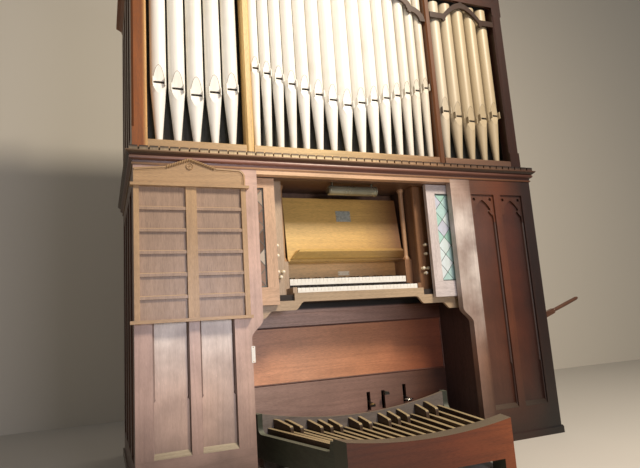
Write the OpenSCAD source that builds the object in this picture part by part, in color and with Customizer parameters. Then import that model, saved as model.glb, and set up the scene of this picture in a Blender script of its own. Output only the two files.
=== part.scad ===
// Pipe organ: a panelled oak case with a pipe front, sliding glazed doors over the keys,
// a hymn board, and a pedalboard whose keys fan out and rise to the sides.
// Millimetres. X runs to the right along the front, Y into the case, Z up.
// The origin is on the floor, in the plane of the lower front, at its middle.

/* [Case] */
// Width over the front corners
case_w = 2524; // [2420:4:2700]
// Depth from the lower front to the back
case_d = 1250; // [1100:10:1500]
// Top of the side compartments, without the cornice
side_top = 3005; // [2990:5:3100]
// Top of the centre compartment, without the cornice
centre_top = 3165; // [3155:5:3260]
// Thickness of the front framing
front_t = 45; // [38:1:50]
// Thickness of the side and back framing
side_t = 35; // [28:1:45]
// Thickness of boards and linings
board_t = 18; // [14:1:24]
// Thickness of the panels
panel_t = 12; // [8:1:16]
// Height of the plinth
plinth_h = 45; // [30:1:60]
// How far the plinth stands out
plinth_out = 10; // [5:1:20]

/* [Lower front] */
// Width of the opening over the keys
key_open_w = 1252; // [1240:2:1270]
// Width of the knee opening
knee_open_w = 1380; // [1340:2:1400]
// Top edge of the opening over the keys
open_top = 1585; // [1570:1:1590]
// Foot of the ogee shoulder in the opening's edge
shoulder_z = 712; // [690:1:730]
// Height of the ogee shoulder
shoulder_h = 93; // [70:1:105]
// Width of the outer stiles
stile_w = 82; // [70:1:95]
// Width of the inner stiles, above the shoulder
inner_stile_w = 152; // [140:1:165]
// Width of the middle stiles
mullion_w = 52; // [40:1:60]
// Top of the bottom rail
low_rail_top = 186; // [160:1:220]
// Underside of the top rail
high_rail_z = 1514; // [1490:1:1530]
// Depth of the rebate that holds a panel
rebate = 8; // [5:1:12]

/* [Moulding and pipe flats] */
// Underside of the main moulding
impost_z = 1610; // [1605:1:1620]
// How far the main moulding stands out
impost_out = 36; // [28:1:45]
// Top of the moulding, where the pipes stand
toe_z = 1771; // [1755:1:1785]
// Width of a dentil
dentil_w = 42; // [34:1:44]
// Gap between dentils
dentil_gap = 8; // [6:1:12]
// How far the upper posts stand back from the lower front
upper_set = 55; // [45:1:65]
// Depth of the upper posts
post_d = 75; // [60:1:85]
// Width of the corner posts
corner_post_w = 78; // [70:1:85]
// Width of the inner posts
inner_post_w = 44; // [38:1:50]
// Clear width of the centre flat
centre_flat_w = 1224; // [1222:2:1250]
// Underside of the rails over the side flats
side_rail_z = 2915; // [2900:1:2925]
// Underside of the rail over the centre flat
centre_rail_z = 3070; // [3060:1:3080]
// Height of the cornice
cornice_h = 60; // [40:1:70]
// Thickness of the rails over the pipes
rail_t = 20; // [16:1:22]
// How far the cornice stands out
cornice_out = 42; // [30:1:50]

/* [Pipes] */
// Diameter of the largest pipe in the centre flat
centre_pipe_d = 92; // [86:0.5:94]
// How much each next centre pipe is narrower
centre_pipe_step = 4.6; // [4.4:0.1:5.5]
// Gap between the bodies of the centre pipes
centre_pipe_gap = 6.8; // [5:0.1:7]
// Mouth height of the middle centre pipe over its toe
centre_mouth = 303; // [280:1:340]
// How much higher each next mouth is in the centre
centre_mouth_step = 24.5; // [18:0.5:28]
// Diameter of the largest pipe in a side flat
side_pipe_d = 92; // [84:0.5:96]
// How much each next side pipe is narrower
side_pipe_step = 3; // [2:0.1:6]
// Gap between the bodies of the side pipes
side_pipe_gap = 11; // [8:0.5:14]
// Mouth height of the middle side pipe over its toe
side_mouth = 274; // [250:1:310]
// How much higher each next mouth is at the sides
side_mouth_step = 27; // [20:0.5:32]
// Diameter of a pipe's toe
toe_d = 34; // [28:1:38]
// Height of the mouth slots
cut_up = 13; // [8:0.5:15]
// Height of the ears beside a mouth
ear_h = 46; // [36:1:52]

/* [Doors] */
// Width of one sliding door
door_w = 690; // [680:1:696]
// Thickness of the doors
door_t = 28; // [24:1:30]
// Running gap between front framing and doors
door_gap = 10; // [6:1:12]
// Underside of the doors
door_z = 878; // [870:1:885]
// Width of the door stiles
door_stile = 62; // [50:1:70]
// Height of the bottom rail of a door
door_low_rail = 96; // [80:1:110]
// Height of the top rail of a door
door_top_rail = 55; // [45:1:65]
// Distance of the left door's inner edge from the middle
left_door_x = 513; // [480:1:520]
// Distance of the right door's inner edge from the middle
right_door_x = 478; // [460:1:515]

/* [Console] */
// Width of the keyboards
keys_w = 775.5; // [770:0.5:780]
// White keys on a keyboard
white_keys = 33; // [33]
// Front of the lower keys behind the lower front
keys_y = 110; // [110:1:118]
// Distance between the fronts of the two keyboards
tier_y = 130; // [120:1:136]
// Top of the lower keys
keys_z = 968; // [964:1:972]
// Height between the two keyboards
tier_z = 62; // [60:1:68]
// Underside of the key bed
bed_z = 892; // [888:1:896]
// Thickness of the key bed
bed_t = 40; // [36:1:40]
// Distance of the stop jambs behind the lower front
jamb_y = 150; // [145:1:160]
// Distance of the jambs' inner edges from the ends of the keyboards
jamb_gap = 52.25; // [48:0.25:58]
// Depth of the key recess behind the lower front
recess_d = 445; // [430:1:470]
// Diameter of a stop knob
knob_d = 21; // [18:0.5:24]
// Length of the desk lamp
lamp_l = 325; // [280:1:340]
// Diameter of the desk lamp
lamp_d = 58; // [50:1:62]

/* [Knee space] */
// Distance of the knee panel behind the lower front
knee_y = 356; // [340:1:380]
// Thickness of the knee panel
knee_t = 22; // [18:1:26]
// Top of the lower knee rail
knee_low_z = 430; // [410:1:450]
// Underside of the upper knee rail
knee_high_z = 760; // [740:1:780]
// Height of the slots for the toe levers
slot_h = 110; // [104:1:112]
// Width of the slots for the toe levers
slot_w = 24; // [20:1:26]

/* [Pedalboard] */
// Spacing of the long pedals at the tips of the short ones
pedal_pitch = 60.3; // [58:0.1:62]
// Radius of the fan and of the hollow
pedal_r = 2591; // [2400:1:2700]
// Long pedals
long_pedals = 18; // [18]
// Width of a long pedal
pedal_w = 21; // [18:1:26]
// Depth of a pedal
pedal_depth = 45; // [40:1:50]
// Top of the middle pedals
pedal_z = 166; // [160:1:175]
// Front face of the heel beam, before the lower front
beam_y = 533; // [500:1:560]
// Thickness of the heel beam
beam_t = 100; // [80:1:110]
// Top of the heel beam at its middle
beam_z = 215; // [205:1:225]
// Clear height under the heel beam
beam_foot = 70; // [50:1:80]
// Tips of the short pedals behind the lower front
tip_y = 115; // [100:1:125]
// Front face of the toe board of the pedals
toe_board_y = 260; // [255:1:264]
// Thickness of the pedalboard's sides
cheek_t = 30; // [25:1:34]
// How much more the sides spread than the outer pedals, in degrees
cheek_splay = 1.5; // [0:0.1:2]

/* [Hymn board] */
// Left edge of the hymn board from the middle
hymn_left = 1262; // [1255:1:1262]
// Right edge of the hymn board from the middle
hymn_right = 698; // [694:1:710]
// Lowest edge of the hymn board
hymn_z = 826; // [815:1:840]
// Shelf under the heading
hymn_shelf_z = 1492; // [1480:1:1505]
// Thickness of the hymn board's frame
hymn_t = 30; // [24:1:36]

/* [Blowing handle] */
// Distance of the handle behind the lower front
handle_y = 300; // [260:1:340]
// Height of the handle's pivot
handle_z = 593; // [560:1:620]
// Reach of the handle from its pivot
handle_l = 750; // [600:1:800]
// Rise of the handle as it is drawn, in degrees
handle_rise = 18.7; // [15:0.1:20]

/* [Hidden] */

half_w = case_w / 2;
open_x = key_open_w / 2;
knee_x = knee_open_w / 2;
side_in = half_w - side_t;
post_x = half_w - corner_post_w;
flat_x = centre_flat_w / 2;
inner_x = flat_x + inner_post_w;
upper_back = upper_set + post_d;
dentil_z = impost_z + 69;
rail_z = dentil_z + 27;
impost_in = 12;
slack = 0.3;
oak = "#8a5a3c";
red_oak = "#6e4230";
golden = "#b98650";

// A box from its lowest to its highest corner
module box(low, high) {
    translate(low) cube(high - low);
}

// The same piece on the right and, mirrored, on the left
module both_sides() {
    children();
    mirror([1, 0, 0]) children();
}

// An outline in X and Z, made as thick as from y0 to y1
module upright(y0, y1) {
    translate([0, y1, 0]) rotate([90, 0, 0]) linear_extrude(y1 - y0) children();
}

// An outline in Y and Z, run along X from x0 to x1
module run_x(x0, x1) {
    translate([x0, 0, 0]) rotate([90, 0, 90]) linear_extrude(x1 - x0) children();
}

// A rectangle in X and Z
module face(x0, x1, z0, z1) {
    translate([x0, z0]) square([x1 - x0, z1 - z0]);
}

// A smooth S from 0 to 1
function ease(t) = (1 - cos(180 * t)) / 2;
// The first n + 1 values of a list, added up
function added(v, n) = n < 0 ? 0 : v[n] + added(v, n - 1);

// Outline of the right front with the ogee shoulder in its inner edge
module front_outline() {
    steps = 12;
    shoulder = [for (i = [0 : steps])
        [open_x + (knee_x - open_x) * ease(i / steps), shoulder_z + shoulder_h * (1 - i / steps)]];
    polygon(concat([[half_w, plinth_h], [half_w, impost_z], [open_x, impost_z]], shoulder, [[knee_x, plinth_h]]));
}

// Panel openings of the right front: two, side by side
panel_zone = half_w - stile_w - (open_x + inner_stile_w);
panel_w = (panel_zone - mullion_w) / 2;
panel_xs = [open_x + inner_stile_w, open_x + inner_stile_w + panel_w + mullion_w];
rebate_y = front_t - panel_t - 10;

module front_frame() {
    difference() {
        upright(0, front_t) front_outline();
        for (x = panel_xs) {
            upright(-1, front_t + 1) face(x, x + panel_w, low_rail_top, high_rail_z);
            upright(rebate_y, front_t + 1)
                face(x - rebate, x + panel_w + rebate, low_rail_top - rebate, high_rail_z + rebate);
        }
    }
}
module front_frames() {
    color(oak) both_sides() front_frame();
}
module front_panels() {
    fit = rebate - slack;
    color(oak) both_sides() for (x = panel_xs)
        upright(rebate_y, rebate_y + panel_t)
            face(x - fit, x + panel_w + fit, low_rail_top - fit, high_rail_z + fit);
}

// Head of a panel: a plate with a pointed arch cut out and a cusp on each side of it
arch_w = panel_w - 20;
arch_spring = high_rail_z - 32 - arch_w * sin(60);
module pointed_arch(w) {
    intersection() {
        translate([-w / 2, 0]) circle(w, $fn = 72);
        translate([w / 2, 0]) circle(w, $fn = 72);
        translate([-w, 0]) square([2 * w, 2 * w]);
    }
}
module tracery() {
    difference() {
        face(-panel_w / 2, panel_w / 2, arch_spring - 12, high_rail_z);
        translate([0, arch_spring]) pointed_arch(arch_w);
        face(-arch_w / 2, arch_w / 2, arch_spring - 20, arch_spring + 0.1);
        for (s = [-1, 1]) translate([s * panel_w * 0.36, high_rail_z - 30]) circle(11, $fn = 24);
    }
    for (s = [-1, 1]) translate([s * arch_w * 0.42, arch_spring + arch_w * 0.36])
        polygon([[s * 6, -26], [s * 6, 26], [-s * 18, 4]]);
}
module front_tracery() {
    color(oak) both_sides() for (x = panel_xs)
        translate([x + panel_w / 2, 0, 0]) upright(rebate_y - 12, rebate_y) tracery();
}

// Rail over the key opening, between the two fronts
module front_head() {
    color(oak) box([-open_x, 0, open_top], [open_x, front_t, impost_z]);
}

module plinth() {
    color(red_oak) {
        both_sides() {
            run = [[-plinth_out, 0], [front_t, 0], [front_t, plinth_h], [0, plinth_h], [-plinth_out, plinth_h - 8]];
            run_x(knee_x, half_w + plinth_out) polygon(run);
            box([half_w - side_t, front_t + slack, 0], [half_w + plinth_out, case_d, plinth_h]);
        }
        box([-side_in + slack, case_d - side_t, 0], [side_in - slack, case_d, plinth_h]);
    }
}

// A framed wall in Y and Z with sunk panels on both faces, in the plane of a side
module side_wall(y0, y1, z0, z1, columns) {
    stile = 90;
    gap = (y1 - y0 - stile * (columns + 1)) / columns;
    sunk = (side_t - panel_t) / 2;
    difference() {
        box([side_in, y0, z0], [half_w, y1, z1]);
        for (c = [0 : columns - 1], x = [side_in - 1, half_w - sunk])
            translate([0, y0 + stile + c * (gap + stile), 0]) box([x, 0, z0 + 110], [x + sunk + 1, gap, z1 - 90]);
    }
}
// The slot in the right side through which the blowing handle passes
slot_low = handle_z - 62;
slot_high = handle_z + 84;
module lower_sides() {
    color(red_oak) {
        difference() {
            side_wall(front_t, case_d, plinth_h, impost_z, 4);
            box([side_in - 1, handle_y - 22, slot_low], [half_w + 1, handle_y + 22, slot_high]);
        }
        mirror([1, 0, 0]) side_wall(front_t, case_d, plinth_h, impost_z, 4);
    }
}
module upper_sides() {
    color(red_oak) both_sides() side_wall(upper_back, case_d, rail_z, side_top, 4);
}
module back_wall() {
    columns = 7;
    stile = 100;
    in = side_in - slack;
    gap = (2 * in - stile * (columns + 1)) / columns;
    sunk = (side_t - panel_t) / 2;
    tiers = [[180, impost_z - 60], [impost_z + 60, side_top - 100]];
    color(red_oak) difference() {
        box([-in, case_d - side_t, plinth_h], [in, case_d, side_top]);
        for (c = [0 : columns - 1], y = [case_d - side_t - 1, case_d - sunk], z = tiers)
            translate([stile - in + c * (gap + stile), 0, 0]) box([0, y, z[0]], [gap, y + sunk + 1, z[1]]);
    }
}
module roof() {
    in = side_in - slack;
    color(red_oak) box([-in, backing_y, side_top - board_t], [in, case_d - side_t - slack, side_top]);
}
// Raised box behind the rail of the centre compartment
head_d = 320;
module centre_head() {
    y0 = upper_back;
    color(red_oak) difference() {
        box([-inner_x, y0, side_top], [inner_x, y0 + head_d, centre_top]);
        in = inner_x - board_t;
        box([-in, y0 - 1, side_top - 1], [in, y0 + head_d - board_t, centre_top - board_t]);
    }
}

// A moulding along the front and back along both sides, with mitred corners.
// The outline gives how far it stands out, and its height.
module mitred(w, d, outline) {
    reach = 200;
    intersection() {
        run_x(-w - reach, w + reach) polygon([for (p = outline) [-p[0], p[1]]]);
        linear_extrude(4000) polygon([[-w - reach, -reach], [w + reach, -reach], [w - 60, 60], [-w + 60, 60]]);
    }
    both_sides() intersection() {
        upright(-reach, d) polygon([for (p = outline) [w + p[0], p[1]]]);
        linear_extrude(4000) polygon([[w + reach, -reach], [w + reach, d], [w - 60, d], [w - 60, 60]]);
    }
}
module impost() {
    o = impost_out;
    outline = [[-impost_in, impost_z], [6, impost_z], [8, impost_z + 5], [6, impost_z + 10], [2, impost_z + 12],
        [4, impost_z + 22], [12, impost_z + 27], [18, impost_z + 30], [20, impost_z + 36], [18, impost_z + 43],
        [14, impost_z + 46], [20, impost_z + 50], [o - 4, impost_z + 60], [o, impost_z + 63], [o, dentil_z],
        [0, dentil_z], [0, rail_z], [-impost_in, rail_z]];
    color(oak) mitred(half_w, case_d, outline);
}
dentil_out = 24;
module dentils() {
    span = 2 * (half_w + dentil_out);
    count = floor(span / (dentil_w + dentil_gap));
    pitch = span / count;
    side_count = floor((case_d - 10) / pitch);
    tall = rail_z - dentil_z - 2;
    color(oak) {
        for (i = [0 : count - 1]) translate([(i + 0.5) * pitch - span / 2 - dentil_w / 2, -dentil_out, dentil_z])
            cube([dentil_w, dentil_out, tall]);
        both_sides() for (i = [0 : side_count - 1])
            translate([half_w, dentil_gap / 2 + i * pitch, dentil_z]) cube([dentil_out, dentil_w, tall]);
    }
}

// Ledge behind the moulding, and on it the boxed boards that the pipes stand on
backing_y = upper_back + 45;
module pipe_toe(x0, x1) {
    run_x(x0, x1) polygon([[upper_set + 2, rail_z], [upper_set + 2, toe_z - 6], [upper_set + 8, toe_z],
        [backing_y + 25, toe_z], [backing_y + 25, rail_z]]);
}
module toe_board() {
    color(oak) {
        box([-half_w + impost_in, impost_in, rail_z - 20], [half_w - impost_in, backing_y + 30, rail_z]);
        both_sides() pipe_toe(inner_x + slack, post_x - slack);
        pipe_toe(slack - flat_x, flat_x - slack);
    }
}

module corner_posts() {
    chamfer = 14;
    mid = (toe_z + side_rail_z) / 2;
    color(oak) both_sides() difference() {
        box([post_x, upper_set, rail_z], [half_w, upper_back, side_top]);
        for (x = [post_x, half_w]) translate([x, upper_set, mid]) rotate([0, 0, 45])
            cube([chamfer, chamfer, side_rail_z - toe_z - 120], center = true);
    }
}
module inner_posts() {
    chamfer = 9;
    outline = [[flat_x, upper_set + chamfer], [flat_x + chamfer, upper_set], [inner_x - chamfer, upper_set],
        [inner_x, upper_set + chamfer], [inner_x, upper_back], [flat_x, upper_back]];
    color(oak) both_sides() translate([0, 0, rail_z]) linear_extrude(centre_top - rail_z) polygon(outline);
}

// One flue pipe on its toe: conical foot, cylindrical body, and a mouth slot between two leaf shaped lips.
// Each lip is a plane that leans until it runs out into the round. Ears stand beside the slot.
pipe_front = upper_set + 23;
module pipe(d, mouth, length) {
    r = d / 2;
    mouth_w = 0.74 * d;
    flat = sqrt(r * r - mouth_w * mouth_w / 4);
    up = 1.4 * mouth_w;
    down = 0.9 * mouth_w;
    low_r = toe_d / 2 + (r - toe_d / 2) * (mouth - down) / mouth;
    difference() {
        rotate_extrude($fn = 48) polygon([[0, 0], [toe_d / 2, 0], [r, mouth - 6], [r, length], [0, length]]);
        translate([0, -flat, mouth + cut_up]) rotate([atan((r - flat) / up), 0, 0])
            box([-r, -r, -2], [r, 0, up + 20]);
        translate([0, -flat, mouth]) rotate([-atan((low_r - flat) / down), 0, 0])
            box([-r, -r, -down - 20], [r, 0, 2]);
        box([-mouth_w / 2, -r - 1, mouth], [mouth_w / 2, 22 - flat, mouth + cut_up]);
        translate([0, 0, mouth]) cylinder(r = flat - 3, h = 70, $fn = 32);
    }
    for (s = [-1, 1]) translate([s * mouth_w / 2 - 2, -r - 9, mouth + cut_up / 2 - ear_h / 2])
        cube([4, r - flat + 14, ear_h]);
}
function offsets(d, step, gap, n) = [for (i = [0 : n])
    i == 0 ? 0 : i * (d + gap) - step * (i * i / 2)];
module flat_of_pipes(d, step, gap, mouth, mouth_step, n, length) {
    xs = offsets(d, step, gap, n);
    for (i = [-n : n]) let (size = d - step * abs(i))
        translate([sign(i) * xs[abs(i)], pipe_front + size / 2, toe_z])
            pipe(size, mouth + mouth_step * abs(i), length);
}
pipe_metal = "#efe6cc";
side_flat_x = (post_x + inner_x) / 2;
module side_flat() {
    length = side_rail_z - 14 - toe_z;
    translate([side_flat_x, 0, 0])
        flat_of_pipes(side_pipe_d, side_pipe_step, side_pipe_gap, side_mouth, side_mouth_step, 2, length);
}
module pipes_right() {
    color(pipe_metal) side_flat();
}
module pipes_left() {
    color(pipe_metal) translate([-2 * side_flat_x, 0, 0]) side_flat();
}
module pipes_centre() {
    length = centre_rail_z - 14 - toe_z;
    color(pipe_metal)
        flat_of_pipes(centre_pipe_d, centre_pipe_step, centre_pipe_gap, centre_mouth, centre_mouth_step, 7, length);
}
module pipe_backing() {
    in = side_in - slack;
    color("#3c3c36") box([-in, backing_y, toe_z], [in, backing_y + panel_t, side_top - board_t]);
}

// Arches over the flats: open ribs with cusps, and a finial up to the rail
rib = 40;
rib_y0 = upper_set + 3;
rib_y1 = upper_set + 18;
side_arch_z = side_rail_z - 132;
side_arch_rise = 104;
module side_arch() {
    half = (post_x - inner_x) / 2 - slack;
    swing = 152;
    steps = 16;
    line = [for (i = [-steps : steps]) let (t = abs(i) / steps)
        [swing * i / steps, side_arch_z + side_arch_rise * (1 - pow(t, 1.8))]];
    face(-half, 4 - swing, side_arch_z - rib / 2, side_arch_z + rib / 2);
    face(swing - 4, half, side_arch_z - rib / 2, side_arch_z + rib / 2);
    polygon(concat([for (p = line) p + [0, rib / 2]], [for (i = [2 * steps : -1 : 0]) line[i] - [0, rib / 2]]));
    for (s = [-1, 1]) translate([s * swing, side_arch_z - rib / 2]) circle(13, $fn = 24);
    apex = side_arch_z + side_arch_rise;
    polygon([[-24, apex], [24, apex], [10, side_rail_z], [-10, side_rail_z]]);
}
module side_arches() {
    color(oak) both_sides() translate([side_flat_x, 0, 0]) upright(rib_y0, rib_y1) side_arch();
}
foil_w = [flat_x * 0.155, flat_x * 0.22, flat_x * 0.275, flat_x * 0.35];
centre_spring_z = centre_rail_z - 352;
foil_h = 81;
module foil(w, h) {
    steps = 12;
    function quarter(a, b) = [for (i = [0 : steps]) let (t = 90 * i / steps) [a * cos(t), b * sin(t)]];
    inner = h - rib / 2;
    difference() {
        polygon(concat([[0, 0]], quarter(w + rib / 2, h + rib / 2)));
        polygon(concat([[-1, -1]], quarter(w - rib / 2, inner), [[-1, inner]]));
    }
}
module centre_arch_half() {
    for (i = [0 : 3]) {
        x = flat_x - slack - rib / 2 - added(foil_w, i) + (i == 3 ? rib / 2 : 0);
        translate([max(x, 0), centre_spring_z + i * foil_h]) foil(foil_w[i], foil_h);
        if (i < 3) translate([x, centre_spring_z + (i + 1) * foil_h]) {
            translate([4, -rib / 2 + 2]) circle(11, $fn = 24);
            face(-14, 14, -rib / 2, rib / 2 - 2);
        }
    }
    apex = centre_spring_z + 4 * foil_h;
    polygon([[-1, apex], [24, apex], [10, centre_rail_z], [-1, centre_rail_z]]);
}
module centre_arch() {
    color(oak) upright(rib_y0, rib_y1) union() {
        centre_arch_half();
        mirror([1, 0]) centre_arch_half();
    }
}
module top_rails() {
    color(oak) {
        both_sides() box([inner_x + slack, upper_set, side_rail_z], [post_x - slack, upper_set + rail_t, side_top]);
        box([-flat_x + slack, upper_set, centre_rail_z], [flat_x - slack, upper_set + rail_t, centre_top]);
    }
}
module cornices() {
    o = cornice_out;
    h = cornice_h;
    outline = [[-14, 0], [2, 0], [5, h * 0.16], [5, h * 0.3], [o * 0.5, h * 0.5], [o * 0.86, h * 0.62],
        [o, h * 0.68], [o, h], [-14, h]];
    color(oak) {
        translate([0, upper_set, side_top]) difference() {
            mitred(half_w, case_d - upper_set, outline);
            box([-inner_x - slack, -100, -1], [inner_x + slack, 100, h + 1]);
        }
        translate([0, upper_set, centre_top]) mitred(inner_x, post_d + head_d, outline);
    }
}

// Hymn board on the left front: back board, framing, number ledges and a gabled heading
hymn_x0 = -hymn_left;
hymn_x1 = -hymn_right;
hymn_w = hymn_x1 - hymn_x0;
hymn_post = 26;
hymn_mid = 54;
hymn_mid_x = hymn_x0 + hymn_w * 0.447;
hymn_back_y = -hymn_t / 2;
module hymn_board() {
    color(golden) box([hymn_x0 + 4, hymn_back_y, hymn_z + 4], [hymn_x1 - 4, 0, hymn_shelf_z]);
}
module hymn_frame() {
    low = hymn_z + 4;
    posts = [[hymn_x0, hymn_x0 + hymn_post], [hymn_mid_x, hymn_mid_x + hymn_mid], [hymn_x1 - hymn_post, hymn_x1]];
    color(golden) {
        for (x = posts) box([x[0], -hymn_t, low], [x[1], hymn_back_y, hymn_shelf_z]);
        box([hymn_x0 - 20, -hymn_t - 14, hymn_z - 12], [hymn_x1 + 10, 0, hymn_z + 4]);
    }
}
hymn_rows = 6;
module hymn_ledges() {
    row = (hymn_shelf_z - hymn_z) / hymn_rows;
    columns = [[hymn_x0 + hymn_post, hymn_mid_x], [hymn_mid_x + hymn_mid, hymn_x1 - hymn_post]];
    color(golden) for (i = [1 : hymn_rows - 1], x = columns)
        translate([0, hymn_back_y, hymn_z + i * row]) run_x(x[0] + slack, x[1] - slack)
            polygon([[0, -9], [-12, -9], [-12, 6], [-8, 9], [0, 9]]);
}
hymn_apex_z = hymn_shelf_z + 152;
module hymn_heading() {
    base = hymn_shelf_z + 14;
    shoulder = hymn_shelf_z + 92;
    mid = hymn_x0 + hymn_w * 0.487;
    round = 40;
    steps = 8;
    corner = [for (i = [0 : steps]) let (a = 90 * i / steps)
        [hymn_x1 - round + round * cos(a), shoulder - round + 12 + round * sin(a)]];
    outline = concat([[hymn_x0, base], [hymn_x1, base]], corner,
        [[mid + 134, shoulder + 16], [mid, hymn_apex_z], [mid - 119, shoulder + 16], [hymn_x0, shoulder]]);
    color(golden) {
        difference() {
            upright(-hymn_t, 0) polygon(outline);
            box([hymn_x0 - 1, 8 - hymn_t, impost_z - 2], [hymn_x1 + 1, 1, hymn_apex_z + 1]);
        }
        box([hymn_x0 - 16, -hymn_t - 16, hymn_shelf_z], [hymn_x1 + 16, 0, base]);
    }
}

// Track above the doors, with its groove, and runners in the pockets under them
door_y = front_t + door_gap;
door_back = door_y + door_t;
door_top = open_top - 5;
tongue_t = 8;
tongue_h = 10;
track_y = door_back + 7;
module door_tracks() {
    mid = door_y + door_t / 2;
    color(oak) {
        difference() {
            box([-side_in + slack, front_t, door_top + 3], [side_in - slack, track_y, impost_z]);
            translate([-side_in, mid - tongue_t / 2 - 0.5, door_top]) cube([2 * side_in, tongue_t + 1, tongue_h + 2]);
        }
        both_sides() box([open_x + 8, front_t, door_z - 17], [side_in - slack, door_back + 3, door_z - slack]);
    }
}

// Shaped rail under the keys, stepped down with ogees towards the sides
apron_h = 50;
module apron() {
    steps = 8;
    function step_down(x0, x1, z0, z1) = [for (i = [0 : steps])
        [x0 + (x1 - x0) * i / steps, z0 + (z1 - z0) * ease(i / steps)]];
    first = step_down(360, 415, bed_z - 2, bed_z - 47);
    second = step_down(545, 596, bed_z - 47, bed_z - 84);
    end_top = bed_z - 84 + apron_h * 0.9;
    bed_end = keys_w / 2 + 28;
    module half() {
        polygon(concat([[0, bed_z - 2]], first, second, [[knee_x, bed_z - 84], [knee_x, end_top], [knee_x, bed_z + 6],
            [bed_end, bed_z + 6], [bed_end, bed_z + bed_t + 8], [0, bed_z + bed_t + 8]]));
    }
    color(golden) upright(track_y, keys_y - 2) union() {
        half();
        mirror([1, 0]) half();
    }
}

// Board under the keyboards, with the riser that carries the upper one
upper_y = keys_y + tier_y;
upper_z = keys_z + tier_z;
key_h = 36;
module key_bed() {
    color(oak) {
        box([-knee_x - 22, keys_y - 2, bed_z], [knee_x + 22, recess_d, bed_z + bed_t]);
        box([-keys_w / 2, upper_y + 35, bed_z + bed_t], [keys_w / 2, recess_d - board_t - slack, upper_z - key_h]);
        box([-keys_w / 2, upper_y + 6, keys_z + 4], [keys_w / 2, upper_y + 36, upper_z - key_h]);
    }
}
key_pitch = keys_w / white_keys;
module keyboard(y0, y1, top, low) {
    joint = 1.4;
    difference() {
        box([-keys_w / 2 + slack, y0, low], [keys_w / 2 - slack, y1, top]);
        for (i = [1 : white_keys - 1])
            translate([-keys_w / 2 + i * key_pitch - joint / 2, y0 - 1, top - 20]) cube([joint, y1 - y0 - 14, 30]);
    }
}
module lower_keys() {
    color("#f4efe0") keyboard(keys_y + 2, upper_y + 22, keys_z, bed_z + bed_t);
}
module upper_keys() {
    color("#f4efe0") keyboard(upper_y, recess_d - board_t - 40, upper_z, upper_z - key_h);
}
// Black keys stand at the joints after C, D, F, G and A
black_after = [0, 1, 3, 4, 5];
module black_row(y0, y1, top) {
    for (n = [0 : white_keys - 2]) if (len(search(n % 7, black_after)) > 0)
        translate([-keys_w / 2 + (n + 1) * key_pitch - 5.5, 0, top]) run_x(0, 11)
            polygon([[y0, 0], [y0 + 7, 12], [y1, 12], [y1, 0]]);
}
module black_keys() {
    color("#1c1a18") {
        black_row(keys_y + 52, upper_y - 2, keys_z);
        black_row(upper_y + 50, upper_y + 130, upper_z);
    }
}
ledge_z = 1134;
cheek_x = keys_w / 2 + 4;
jamb_x = keys_w / 2 + jamb_gap;
module key_cheeks() {
    color(oak) both_sides() {
        box([cheek_x, keys_y, bed_z + bed_t], [cheek_x + 24, upper_y - 2, keys_z + 4]);
        box([cheek_x, upper_y - 2, bed_z + bed_t], [jamb_x - slack, recess_d - board_t - slack, ledge_z]);
    }
}
module stop_jambs() {
    mid = (bed_z + bed_t + open_top + 11) / 2;
    color(golden) both_sides() difference() {
        box([jamb_x, jamb_y, bed_z + bed_t], [knee_x - 50, jamb_y + 22, open_top + 11]);
        translate([jamb_x, jamb_y, mid]) rotate([0, 0, 45]) cube([8, 8, 800], center = true);
    }
}
// Turned knobs: how far out from the jamb's edge, and how high
knob_places = [[48, 1212], [48, 1155], [50, 1064], [19, 1064], [34, 1034]];
module stop_knobs() {
    r = knob_d / 2;
    color("#e8dcc0") both_sides() for (p = knob_places) translate([jamb_x + p[0], jamb_y, p[1]]) rotate([90, 0, 0])
        rotate_extrude($fn = 32) polygon([[0, 0], [r * 0.8, 0], [r * 0.8, 3], [r * 0.42, 5], [r * 0.42, 14],
            [r * 0.9, 17], [r, 20], [r * 0.9, 24], [r * 0.5, 26.5], [0, 27]]);
}
soffit_z = open_top + 11;
module key_recess() {
    low = bed_z + bed_t;
    color(oak) {
        both_sides() box([jamb_x, jamb_y + 22, low], [jamb_x + board_t, recess_d, soffit_z]);
        box([-jamb_x + slack, recess_d - board_t, low], [jamb_x - slack, recess_d, soffit_z]);
        box([-knee_x + 50, track_y, soffit_z], [knee_x - 50, recess_d, impost_z]);
    }
}
column_d = 36;
column_y = upper_y - 2 + 22;
module columns() {
    r = column_d / 2;
    tall = soffit_z - ledge_z;
    color(oak) both_sides() translate([cheek_x + 24, column_y, ledge_z]) rotate_extrude($fn = 32)
        polygon([[0, 0], [r + 4, 0], [r + 4, 10], [r, 18], [r - 3, 26], [r - 3, tall - 26], [r, tall - 18],
            [r + 4, tall - 10], [r + 4, tall], [0, tall]]);
}
lamp_z = 1546;
lamp_y = 140;
module desk_lamp() {
    r = lamp_d / 2;
    half = lamp_l / 2;
    color("#b8b08c") translate([12, lamp_y, lamp_z]) {
        rotate([0, 90, 0]) rotate_extrude($fn = 40)
            polygon([[0, -half], [r - 6, -half], [r, 6 - half], [r, half - 6], [r - 6, half], [0, half]]);
        for (x = [30 - half, half - 30]) translate([x, 0, 0]) cylinder(d = 12, h = soffit_z - lamp_z, $fn = 24);
    }
}
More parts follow.
